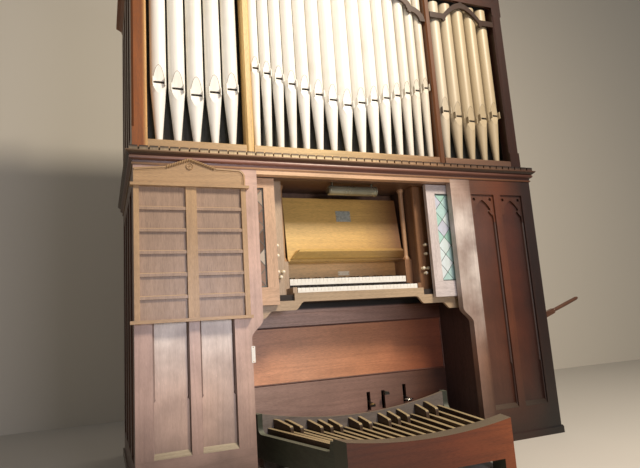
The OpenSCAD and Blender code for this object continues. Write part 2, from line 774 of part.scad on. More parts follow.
// Leaning desk on its shelf, with a bevelled lip that holds the books
desk_w = keys_w;
desk_foot = [upper_y + 13, ledge_z + 6];
desk_rise = 394;
desk_lean = 49;
name_y = upper_y + 132;
module music_desk() {
    front = upper_y - 72;
    back = upper_y + 14;
    low = ledge_z + 10;
    top = ledge_z + 62;
    color(golden) {
        run_x(-desk_w / 2, desk_w / 2) polygon([desk_foot, desk_foot + [14, 0],
            desk_foot + [14 + desk_lean, desk_rise], desk_foot + [desk_lean, desk_rise]]);
        box([slack - cheek_x, back - 22, ledge_z], [cheek_x - slack, name_y, low]);
        intersection() {
            run_x(-desk_w / 2, desk_w / 2) polygon([[back - 14, low - 1], [back + 6, low - 1], [back + 10, top],
                [front + 4, top], [front, top - 4], [front, top - 14], [front + 10, top - 20], [front + 22, low + 24],
                [front + 44, low + 6]]);
            upright(front - 1, back + 20) polygon([[8 - desk_w / 2, low - 1], [desk_w / 2 - 8, low - 1],
                [desk_w / 2 - 52, top + 1], [52 - desk_w / 2, top + 1]]);
        }
    }
}
module name_board() {
    color("#9a7048") box([-cheek_x, name_y, upper_z + slack], [cheek_x, name_y + 16, ledge_z + 40]);
}

// Knee space: panel between two rails, slots for the toe levers, and side boards
lever_xs = [117, 218, 370];
slot_zs = [223, 223, 246];
module knee_rails() {
    w = knee_x - slack;
    color(oak) {
        difference() {
            box([-w, knee_y, 0], [w, knee_y + knee_t, knee_low_z]);
            for (i = [0 : 2]) translate([lever_xs[i] - slot_w / 2, knee_y - 1, slot_zs[i]])
                cube([slot_w, knee_t + 2, slot_h]);
        }
        box([-w, knee_y, knee_high_z], [w, knee_y + knee_t, bed_z]);
        box([-w, knee_y - 14, bed_z - 56], [w, knee_y, bed_z - 38]);
    }
}
module knee_panel() {
    w = knee_x - slack;
    color(golden) box([-w, knee_y + 3, knee_low_z], [w, knee_y + knee_t - 3, knee_high_z]);
}
module knee_sides() {
    back = knee_y + knee_t;
    color(oak) both_sides() run_x(knee_x, knee_x + 22)
        polygon([[front_t, 0], [back, 0], [back, bed_z], [track_y, bed_z], [track_y, door_z - 30], [front_t, door_z - 30]]);
}

// Pedalboard: everything fans out from one centre far before the case
fan_y = tip_y - pedal_r;
fan_step = pedal_pitch / pedal_r * 180 / PI;
edge_angle = (long_pedals - 1) / 2 * fan_step;
cheek_in = pedal_w / 2 + 7.5;
cheek_out = cheek_in + cheek_t;
pedal_rear = knee_y - slack;
beam_back = -beam_y + beam_t;
function rise_at(x) = pedal_r - sqrt(pedal_r * pedal_r - x * x);
function edge_x(y, off) = (y - fan_y) * tan(edge_angle) + off / cos(edge_angle);
// Inner face of the sides: how far out it is at a distance y
function side_x(y) = edge_x(beam_back, cheek_in) + (y - beam_back) * tan(edge_angle + cheek_splay);

// A piece drawn along Y from the fan's centre, turned to its place in the fan
module fanned(step) {
    translate([0, fan_y, 0]) rotate([0, 0, -step * fan_step]) children();
}
module hollow_top(w, base, low) {
    steps = 24;
    curve = [for (i = [0 : steps]) let (x = w * (2 * i / steps - 1)) [x, base + rise_at(x)]];
    polygon(concat([[w, low], [-w, low]], curve));
}
module heel_beam() {
    plan = [[edge_x(-beam_y, cheek_out), -beam_y], [edge_x(beam_back, cheek_out), beam_back],
        [-edge_x(beam_back, cheek_out), beam_back], [-edge_x(-beam_y, cheek_out), -beam_y]];
    foot = 60;
    color("#7c4630") intersection() {
        union() {
            upright(-beam_y - 1, beam_back + 1) hollow_top(edge_x(beam_back, cheek_out) + 5, beam_z, beam_foot);
            both_sides() translate([edge_x(-beam_y, cheek_out) - foot, -beam_y, 0])
                cube([foot + 40, beam_t, beam_foot + 1]);
        }
        linear_extrude(400) polygon(plan);
    }
}
module pedal_side() {
    rear = (toe_board_y - beam_back) / cos(edge_angle + cheek_splay);
    low = 195;
    high = 297;
    swoop_r = 38;
    steps = 8;
    swoop = [for (i = [0 : steps]) let (a = 90 * i / steps)
        [rear - swoop_r + swoop_r * cos(a), low + swoop_r - swoop_r * sin(a)]];
    outline = concat([[-40, beam_foot], [rear + 200, beam_foot], [rear + 200, 150], [rear + 60, 150],
        [rear + 60, high], [rear, high]], swoop, [[40, low], [30, 243], [-40, 243]]);
    intersection() {
        translate([edge_x(beam_back, cheek_in), beam_back, 0]) rotate([0, 0, -edge_angle - cheek_splay])
            run_x(0, cheek_t) polygon(outline);
        box([0, beam_back, 0], [2000, pedal_rear, 500]);
    }
}
module pedal_sides() {
    color("#3a3a2c") both_sides() pedal_side();
}
module pedal_toe_board() {
    w = side_x(toe_board_y) - slack;
    color("#6a5040") upright(toe_board_y, toe_board_y + 25) hollow_top(w, beam_z + 13, 0);
    // Cross bearer under the pedals, level with the lower front
    color("#6a5040") upright(-35, 35) hollow_top(side_x(-35) - slack, pedal_z - pedal_depth - 4, 0);
}
module pedal_bar(w, low, top) {
    r0 = beam_back + slack - fan_y;
    r1 = toe_board_y - slack - fan_y;
    box([-w / 2, r0 - 60, low], [w / 2, r1 + 100, top]);
}
module trimmed() {
    intersection() {
        children();
        box([-2000, beam_back + slack, 0], [2000, toe_board_y - slack, 500]);
    }
}
function fan_rise(step) = pedal_r * (1 - cos(step * fan_step));
module long_pedals() {
    color("#c8b080") for (i = [0 : long_pedals - 1]) {
        step = i - (long_pedals - 1) / 2;
        top = pedal_z + fan_rise(step);
        trimmed() fanned(step) pedal_bar(pedal_w, top - pedal_depth, top);
    }
}
module short_pedals() {
    w = 18;
    color("#a89878") for (n = [0 : long_pedals - 2]) if (len(search(n % 7, black_after)) > 0) {
        step = n + 0.5 - (long_pedals - 1) / 2;
        top = pedal_z + fan_rise(step);
        trimmed() fanned(step) union() {
            pedal_bar(w, top - pedal_depth, top - 14);
            run_x(-w / 2, w / 2) polygon([[pedal_r, top - 15], [pedal_r, top + 20], [pedal_r + 3, top + 27],
                [pedal_r + 12, top + 33], [pedal_r + 150, top + 50], [pedal_r + 300, top + 50], [pedal_r + 300, top - 15]]);
        }
    }
}

// Pivots inside the case: the rod of the toe levers and the bracket of the blowing handle
rod_d = 12;
rod_y = 600;
rod_z = 290;
handle_pin_d = 16;
handle_pivot_x = side_in - 77;
module pivots() {
    color("#4a4642") {
        for (x = [70, 405]) box([x, knee_y + knee_t, rod_z - 60], [x + 15, rod_y + 30, rod_z + 50]);
        translate([70, rod_y, rod_z]) rotate([0, 90, 0]) cylinder(d = rod_d, h = 350, $fn = 32);
        for (y = [handle_y - 44, handle_y + 26])
            box([handle_pivot_x - 34, y, handle_z - 36], [side_in, y + 18, handle_z + 36]);
        translate([handle_pivot_x, handle_y + 44, handle_z]) rotate([90, 0, 0])
            cylinder(d = handle_pin_d, h = 88, $fn = 32);
    }
}

// Sliding doors: a rebated frame with a sheet of glass
glass_t = 4;
module door_frame() {
    h = door_top - door_z;
    mid = door_y + door_t / 2;
    difference() {
        union() {
            box([0, door_y, door_z], [door_w, door_back, door_top]);
            box([0, mid - tongue_t / 2, door_top], [door_w, mid + tongue_t / 2, door_top + tongue_h]);
        }
        upright(door_y - 1, door_back + 1)
            face(door_stile, door_w - door_stile, door_z + door_low_rail, door_top - door_top_rail);
        glass_sheet(slack);
    }
}
module glass_sheet(extra) {
    mid = door_y + door_t / 2;
    edge = rebate + extra;
    low = door_z + door_low_rail - edge;
    upright(mid - glass_t / 2 - extra / 2, mid + glass_t / 2 + extra / 2)
        face(door_stile - edge, door_w - door_stile + edge, low, door_top - door_top_rail + edge);
}
module left_door() {
    color("#a88a78") translate([-left_door_x, 0, 0]) mirror([1, 0, 0]) door_frame();
}
module left_glass() {
    color("#9ec4b4") translate([-left_door_x, 0, 0]) mirror([1, 0, 0]) glass_sheet(0);
}
module right_door() {
    color("#a88a78") translate([right_door_x, 0, 0]) door_frame();
}
module right_glass() {
    color("#9ec4b4") translate([right_door_x, 0, 0]) glass_sheet(0);
}

// Toe levers: flat iron bars on one rod, each with a round foot before the knee panel
module lever(x, angle) {
    reach = rod_y - knee_y + 49;
    color("#5c5a58") translate([x, rod_y, rod_z]) rotate([-angle, 0, 0]) difference() {
        union() {
            box([-4, -reach, -11], [4, 0, 11]);
            rotate([0, 90, 0]) cylinder(d = 30, h = 10, center = true, $fn = 32);
            translate([-15, -reach - 10, -11]) cube([30, 22, 12]);
            translate([0, -reach - 10, 1]) cylinder(d = 20, h = 4, $fn = 32);
        }
        rotate([0, 90, 0]) cylinder(d = rod_d + 0.6, h = 40, center = true, $fn = 32);
    }
}
module lever_left() {
    lever(lever_xs[0], -5.4);
}
module lever_middle() {
    lever(lever_xs[1], 6);
}
module lever_right() {
    lever(lever_xs[2], -4.3);
}

// Blowing handle: a tapered bar on its pin, with a turned grip
module blowing_handle() {
    grip = 260;
    color("#5a3a20") translate([handle_pivot_x, handle_y, handle_z]) rotate([0, -handle_rise, 0]) difference() {
        union() {
            rotate([90, 0, 0]) cylinder(d = 56, h = 30, center = true, $fn = 40);
            rotate([90, 0, 0]) linear_extrude(30, center = true)
                polygon([[0, -24], [handle_l - grip, -17], [handle_l - grip, 17], [0, 24]]);
            translate([handle_l - grip, 0, 0]) rotate([0, 90, 0]) rotate_extrude($fn = 32)
                polygon([[0, -20], [13, -20], [13, 0], [15, 8], [13, 20], [14, grip * 0.5], [12.5, grip - 14],
                    [8, grip], [0, grip]]);
        }
        rotate([90, 0, 0]) cylinder(d = handle_pin_d + 0.6, h = 60, center = true, $fn = 40);
    }
}

plinth();
front_frames();
front_panels();
front_tracery();
front_head();
lower_sides();
upper_sides();
back_wall();
roof();
centre_head();
impost();
dentils();
toe_board();
corner_posts();
inner_posts();
pipes_left();
pipes_centre();
pipes_right();
pipe_backing();
side_arches();
centre_arch();
top_rails();
cornices();
hymn_board();
hymn_frame();
hymn_ledges();
hymn_heading();
door_tracks();
apron();
key_bed();
lower_keys();
upper_keys();
black_keys();
key_cheeks();
stop_jambs();
stop_knobs();
key_recess();
columns();
desk_lamp();
music_desk();
name_board();
knee_rails();
knee_panel();
knee_sides();
heel_beam();
pedal_sides();
pedal_toe_board();
long_pedals();
short_pedals();
pivots();
left_door();
left_glass();
right_door();
right_glass();
lever_left();
lever_middle();
lever_right();
blowing_handle();
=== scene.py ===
import math

import bpy
import numpy as np
from mathutils import Matrix, Vector


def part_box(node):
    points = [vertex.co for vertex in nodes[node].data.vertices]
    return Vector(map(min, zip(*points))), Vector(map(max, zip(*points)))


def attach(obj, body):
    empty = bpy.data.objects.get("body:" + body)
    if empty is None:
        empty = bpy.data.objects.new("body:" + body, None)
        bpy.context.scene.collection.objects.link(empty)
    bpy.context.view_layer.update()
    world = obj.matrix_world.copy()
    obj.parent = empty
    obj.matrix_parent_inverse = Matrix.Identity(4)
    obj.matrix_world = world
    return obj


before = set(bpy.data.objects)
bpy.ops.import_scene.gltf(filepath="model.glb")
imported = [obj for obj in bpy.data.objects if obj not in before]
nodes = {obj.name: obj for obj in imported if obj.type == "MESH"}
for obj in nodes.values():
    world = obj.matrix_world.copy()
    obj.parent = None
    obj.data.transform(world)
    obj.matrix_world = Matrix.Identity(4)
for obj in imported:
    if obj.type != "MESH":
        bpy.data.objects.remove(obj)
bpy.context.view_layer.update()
print("frame loaded,", len(nodes), "nodes")


# Camera: standing left of the organ, looking a little up, held slightly turned
camera = {
    "place": (-1.4087, -2.7707, 0.7448),
    "yaw": 22.214,  # towards the right, degrees
    "pitch": 9.665,  # upwards
    "roll": -3.865,
    "lens": 30.67,  # mm
    "sensor": 36,  # mm wide
    "near": 0.05,
}


def placeCamera(settings):
    yaw, pitch, roll = (math.radians(settings[k]) for k in ("yaw", "pitch", "roll"))
    ahead = Vector((math.sin(yaw) * math.cos(pitch), math.cos(yaw) * math.cos(pitch), math.sin(pitch)))
    side = Vector((math.cos(yaw), -math.sin(yaw), 0))
    up = side.cross(ahead)
    right = math.cos(roll) * side + math.sin(roll) * up
    top = right.cross(ahead)
    data = bpy.data.cameras.new("camera")
    data.lens, data.sensor_width, data.clip_start = settings["lens"], settings["sensor"], settings["near"]
    obj = bpy.data.objects.new("camera", data)
    turn = Matrix((right, top, -ahead)).transposed().to_4x4()
    obj.matrix_world = Matrix.Translation(settings["place"]) @ turn
    bpy.context.scene.collection.objects.link(obj)
    bpy.context.scene.camera = obj


placeCamera(camera)
bpy.context.scene.view_settings.view_transform = "Standard"
print("camera placed")


# An sRGB hex colour as the linear values that the shaders take
def toLinear(hexColour):
    channels = [int(hexColour[i:i + 2], 16) / 255 for i in (1, 3, 5)]
    return [c / 12.92 if c <= 0.04045 else ((c + 0.055) / 1.055) ** 2.4 for c in channels] + [1.0]


# Adds a shader node. Its inputs, in order or by name or number, are set to values or linked to another node, which
# stands for its first output in use, or to one output. Stops fill a colour ramp, and settings are the node's properties.
def addNode(tree, kind, inputs=(), stops=(), **settings):
    node = tree.nodes.new(kind)
    for key, value in settings.items():
        setattr(node, key, value)
    for key, value in (inputs if isinstance(inputs, dict) else dict(enumerate(inputs))).items():
        if isinstance(value, bpy.types.Node):
            value = next(output for output in value.outputs if output.enabled)
        if isinstance(value, bpy.types.NodeSocket):
            tree.links.new(value, node.inputs[key])
        else:
            node.inputs[key].default_value = value
    if stops:
        for element, (position, colour) in zip(node.color_ramp.elements, (stops[0], stops[-1])):
            element.position, element.color = position, colour
        for position, colour in stops[1:-1]:
            node.color_ramp.elements.new(position).color = colour
    return node


# A new material with an empty node tree
def newMaterial(name):
    material = bpy.data.materials.new(name)
    material.use_nodes = True
    material.node_tree.nodes.clear()
    return material, material.node_tree


# Colour that changes along one axis, through stops at places in metres between two limits
def alongAxis(tree, position, stops, limits):
    if isinstance(stops, str):
        stops = [(place, stops) for place in limits]
    low, high = limits
    share = addNode(tree, "ShaderNodeMapRange", (position, low, high, 0.0, 1.0))
    places = [((place - low) / (high - low), toLinear(colour)) for place, colour in stops]
    return addNode(tree, "ShaderNodeValToRGB", (share,), places)


# What every timber starts from. The sizes are millimetres across the grain and along it.
plainWood = {
    "grain": "z",  # the axis that the grain runs along
    "rails": (),  # bands of height in metres, where it runs along X
    "shift": (0, 0, 0),  # moves the figure, in cells of its noise
    "rings": (95, 1500), "ringCount": 46,  # contour lines through one cell of the noise
    "streaks": (7, 260),
    "pores": (1.3, 26),  # real ones are 0.3 mm wide: they are drawn coarser, so that they show
    "flecks": (3.6, 22),  # rays cut along their length, drawn about twice as wide as the real ones
    "contrast": 0.22,  # of rings and streaks
    "poreDark": 0.74, "fleck": 1.12,
    "clouds": (0.88, 1.1),  # darkest and palest of the wide patches that handling leaves
    "cloudScale": 2.6,  # patches to the metre: each is 385 mm wide
    "coat": 0.25, "coatRoughness": 0.3,  # the film of varnish
    "roughness": (0.36, 0.55),  # between the pores and in them
    "relief": 0.2, "reliefDepth": 0.0005,
}
widthLimits, heightLimits = (-1.3, 1.3), (0, 3.25)
facings = {"left": (-1, 0, 0), "right": (1, 0, 0), "top": (0, 0, 1)}


# Varnished timber. Growth rings are contour lines of a noise drawn out along the grain, with finer streaks,
# dark pores and pale ray flecks over them. Grain runs along one axis, and along X inside the rails' bands of height.
# The colour may change along X and up Z: these stops paint light and shade into it, paler where light and sheen fell
# and darker where shade fell. Faces to the left, to the right and on top can have a tint with its strength: painted
# light and shade by the way a face turns, and dust and wear on some tops as well. A painted sheen, a reflection on the
# varnish, can whiten a strip between two places along X: it grows between two heights and fades again some way above
# them.
def timber(settings):
    wood = {**plainWood, **settings}
    material, tree = newMaterial(wood["name"])
    place = addNode(tree, "ShaderNodeTexCoord").outputs["Object"]
    across, _, height = addNode(tree, "ShaderNodeSeparateXYZ", (place,)).outputs
    railMask = 0.0
    for low, high in wood["rails"]:
        band = addNode(tree, "ShaderNodeMath", (height, (low + high) / 2, (high - low) / 2), operation="COMPARE")
        railMask = addNode(tree, "ShaderNodeMath", (railMask, band), operation="MAXIMUM")

    # A noise whose cells have a size across the grain and along it, turned with the grain inside the rails
    def figure(size, detail, distortion=0.0):
        vectors = []
        for grain in [wood["grain"]] + ["x"] * bool(wood["rails"]):
            scale = [1000 / size[axis == grain] for axis in "xyz"]
            inputs = {"Vector": place, "Scale": scale, "Location": wood["shift"]}
            vectors.append(addNode(tree, "ShaderNodeMapping", inputs))
        if wood["rails"]:
            inputs = {0: railMask, 4: vectors[0], 5: vectors[1]}
            vectors = [addNode(tree, "ShaderNodeMix", inputs, data_type="VECTOR")]
        inputs = {"Vector": vectors[0], "Scale": 1.0, "Detail": detail, "Distortion": distortion}
        return addNode(tree, "ShaderNodeTexNoise", inputs)

    contours = addNode(tree, "ShaderNodeMath", (figure(wood["rings"], 1.0), wood["ringCount"]), operation="MULTIPLY")
    waves = addNode(tree, "ShaderNodeMath", (contours,), operation="SINE")
    waves = addNode(tree, "ShaderNodeMapRange", (waves, -1, 1, 0.0, 0.5))
    streaks = addNode(tree, "ShaderNodeMapRange", (figure(wood["streaks"], 3.0, 0.4), 0.3, 0.7, 0.0, 0.5))
    rings = addNode(tree, "ShaderNodeMath", (waves, streaks), operation="ADD")
    pores, flecks = figure(wood["pores"], 2.0), figure(wood["flecks"], 1.0)
    clouds = addNode(tree, "ShaderNodeTexNoise", {"Vector": place, "Scale": wood["cloudScale"], "Detail": 3.0})

    # Dark rings lose more blue than red, so that they look warmer
    dark = [1 - wood["contrast"] * c for c in (0.9, 1.0, 1.1)] + [1.0]
    pale = [1 + 0.6 * wood["contrast"]] * 3 + [1.0]
    shading = addNode(tree, "ShaderNodeValToRGB", (rings,), [(0.1, dark), (0.5, [1.0] * 4), (0.95, pale)])
    base = alongAxis(tree, across, wood["colour"], widthLimits)
    # Painted sheen: a strip whitened with pale grey, standing for a reflection on the varnish
    if "milky" in wood:
        left, right, low, high, tint = wood["milky"]
        smooth = {"interpolation_type": "SMOOTHSTEP"}
        amount = addNode(tree, "ShaderNodeMath", (across, (left + right) / 2, (right - left) / 2), operation="COMPARE")
        grows = addNode(tree, "ShaderNodeMapRange", (height, low, high, 0.0, 1.0), **smooth)
        fades = addNode(tree, "ShaderNodeMapRange", (height, high + 0.3, high + 0.48, 1.0, 0.3), **smooth)
        patches = addNode(tree, "ShaderNodeMapRange", (clouds, 0.3, 0.6, 0.4, 0.88))
        for factor in (grows, fades, patches):
            amount = addNode(tree, "ShaderNodeMath", (amount, factor), operation="MULTIPLY")
        base = addNode(tree, "ShaderNodeMix", {0: amount, 6: base, 7: toLinear(tint)}, data_type="RGBA")
    colour = addNode(tree, "ShaderNodeMix", {0: 1.0, 6: shading, 7: base}, data_type="RGBA", blend_type="MULTIPLY")
    # Painted light and shade by height
    if "heights" in wood:
        inputs = {0: 1.0, 6: colour, 7: alongAxis(tree, height, wood["heights"], heightLimits)}
        colour = addNode(tree, "ShaderNodeMix", inputs, data_type="RGBA", blend_type="MULTIPLY")
    poreShade = addNode(tree, "ShaderNodeMapRange", (pores, 0.36, 0.56, wood["poreDark"], 1.0))
    fleckShade = addNode(tree, "ShaderNodeMapRange", (flecks, 0.62, 0.74, 1.0, wood["fleck"]))
    cloudShade = addNode(tree, "ShaderNodeMapRange", (clouds, 0.3, 0.7, *wood["clouds"]))
    for shade in (poreShade, fleckShade, cloudShade):
        colour = addNode(tree, "ShaderNodeVectorMath", {0: colour, "Scale": shade}, operation="SCALE")
    # Tints on faces that turn left, right or up: painted light and shade by the way a face turns, and dust and wear on
    # some tops
    for side in [key for key in wood if key in facings]:
        tint, strength = wood[side]
        normal = addNode(tree, "ShaderNodeNewGeometry").outputs["Normal"]
        facing = addNode(tree, "ShaderNodeVectorMath", (normal, facings[side]), operation="DOT_PRODUCT")
        amount = addNode(tree, "ShaderNodeMapRange", (facing, 0.45, 0.75, 0.0, strength))
        patches = addNode(tree, "ShaderNodeMapRange", (clouds, 0.2, 0.5, 0.75, 1.0))
        amount = addNode(tree, "ShaderNodeMath", (amount, patches), operation="MULTIPLY")
        colour = addNode(tree, "ShaderNodeMix", {0: amount, 6: colour, 7: toLinear(tint)}, data_type="RGBA")
    smooth, coarse = wood["roughness"]
    shader = addNode(tree, "ShaderNodeBsdfPrincipled", {
        "Base Color": colour,
        "Roughness": addNode(tree, "ShaderNodeMapRange", (pores, 0.3, 0.6, coarse, smooth)),
        "Coat Weight": wood["coat"],
        "Coat Roughness": wood["coatRoughness"],
        "Normal": addNode(tree, "ShaderNodeBump", {
            "Height": pores, "Strength": wood["relief"], "Distance": wood["reliefDepth"]}),
    })
    addNode(tree, "ShaderNodeOutputMaterial", {"Surface": shader})
    return material


# Colours of the large timbers, by places along X and by heights, in metres
frontRails = [(-0.1, 0.186), (1.514, 1.7)]
upperRails = [(2.9, 3.4)]
# Painted light and shade along X: the fronts and their panels pale and hazy with painted sheen on the left, darkening
# with painted shade to the right
frontColoursPaintedLight = (
    (-1.26, "#b09389"), (-1.0, "#bfa196"), (-0.69, "#c3a395"), (0.0, "#c3a395"), (0.64, "#a08474"),
    (0.69, "#8c6c5c"), (0.76, "#72503e"), (0.775, "#5c3a2a"), (0.98, "#582d18"), (1.2, "#200d06"),
)
panelColoursPaintedLight = (
    (-1.2, "#bca196"), (-0.9, "#c4a89a"), (-0.7, "#cdb7af"), (0.78, "#553325"), (0.95, "#4e2817"),
    (1.09, "#431c0c"), (1.2, "#1c0a05"),
)
# Painted shade by height: the fronts darker near the floor, and the knee rails darker near the floor and black along
# their top, a painted shadow under the key bed
frontPaintedShadeByHeight = ((0.05, "#8a8480"), (0.25, "#cfccca"), (0.5, "#ffffff"), (3.2, "#ffffff"))
railPaintedShadowByHeight = ((0.4, "#ccc4c0"), (0.76, "#ffffff"), (0.857, "#ffffff"), (0.862, "#201a18"), (0.95, "#201a18"))
# Painted light and shade for the moulding's members, a band for each by millimetres below the dentils: the darkest
# bands are painted shadows under the members that jut out
dentilLow, dentilHigh = (corner[2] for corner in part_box("dentils"))
impostPaintedShades = [(dentilLow - below / 1000, colour) for below, colour in (
    (75, "#c09a74"), (61, "#c8a078"), (59, "#5a3024"), (47, "#6a3a2c"), (45, "#a87c70"), (24, "#9c7468"),
    (22, "#4a3024"), (8, "#5c4030"), (6, "#a08062"), (0, "#a88a68"),
)]
# A painted shadow makes a dark line along the dentils' tops
dentilPaintedShadow = [
    (dentilLow, "#ffffff"), (dentilHigh - 0.0062, "#ffffff"), (dentilHigh - 0.0048, "#4a3628"), (dentilHigh, "#4a3628"),
]

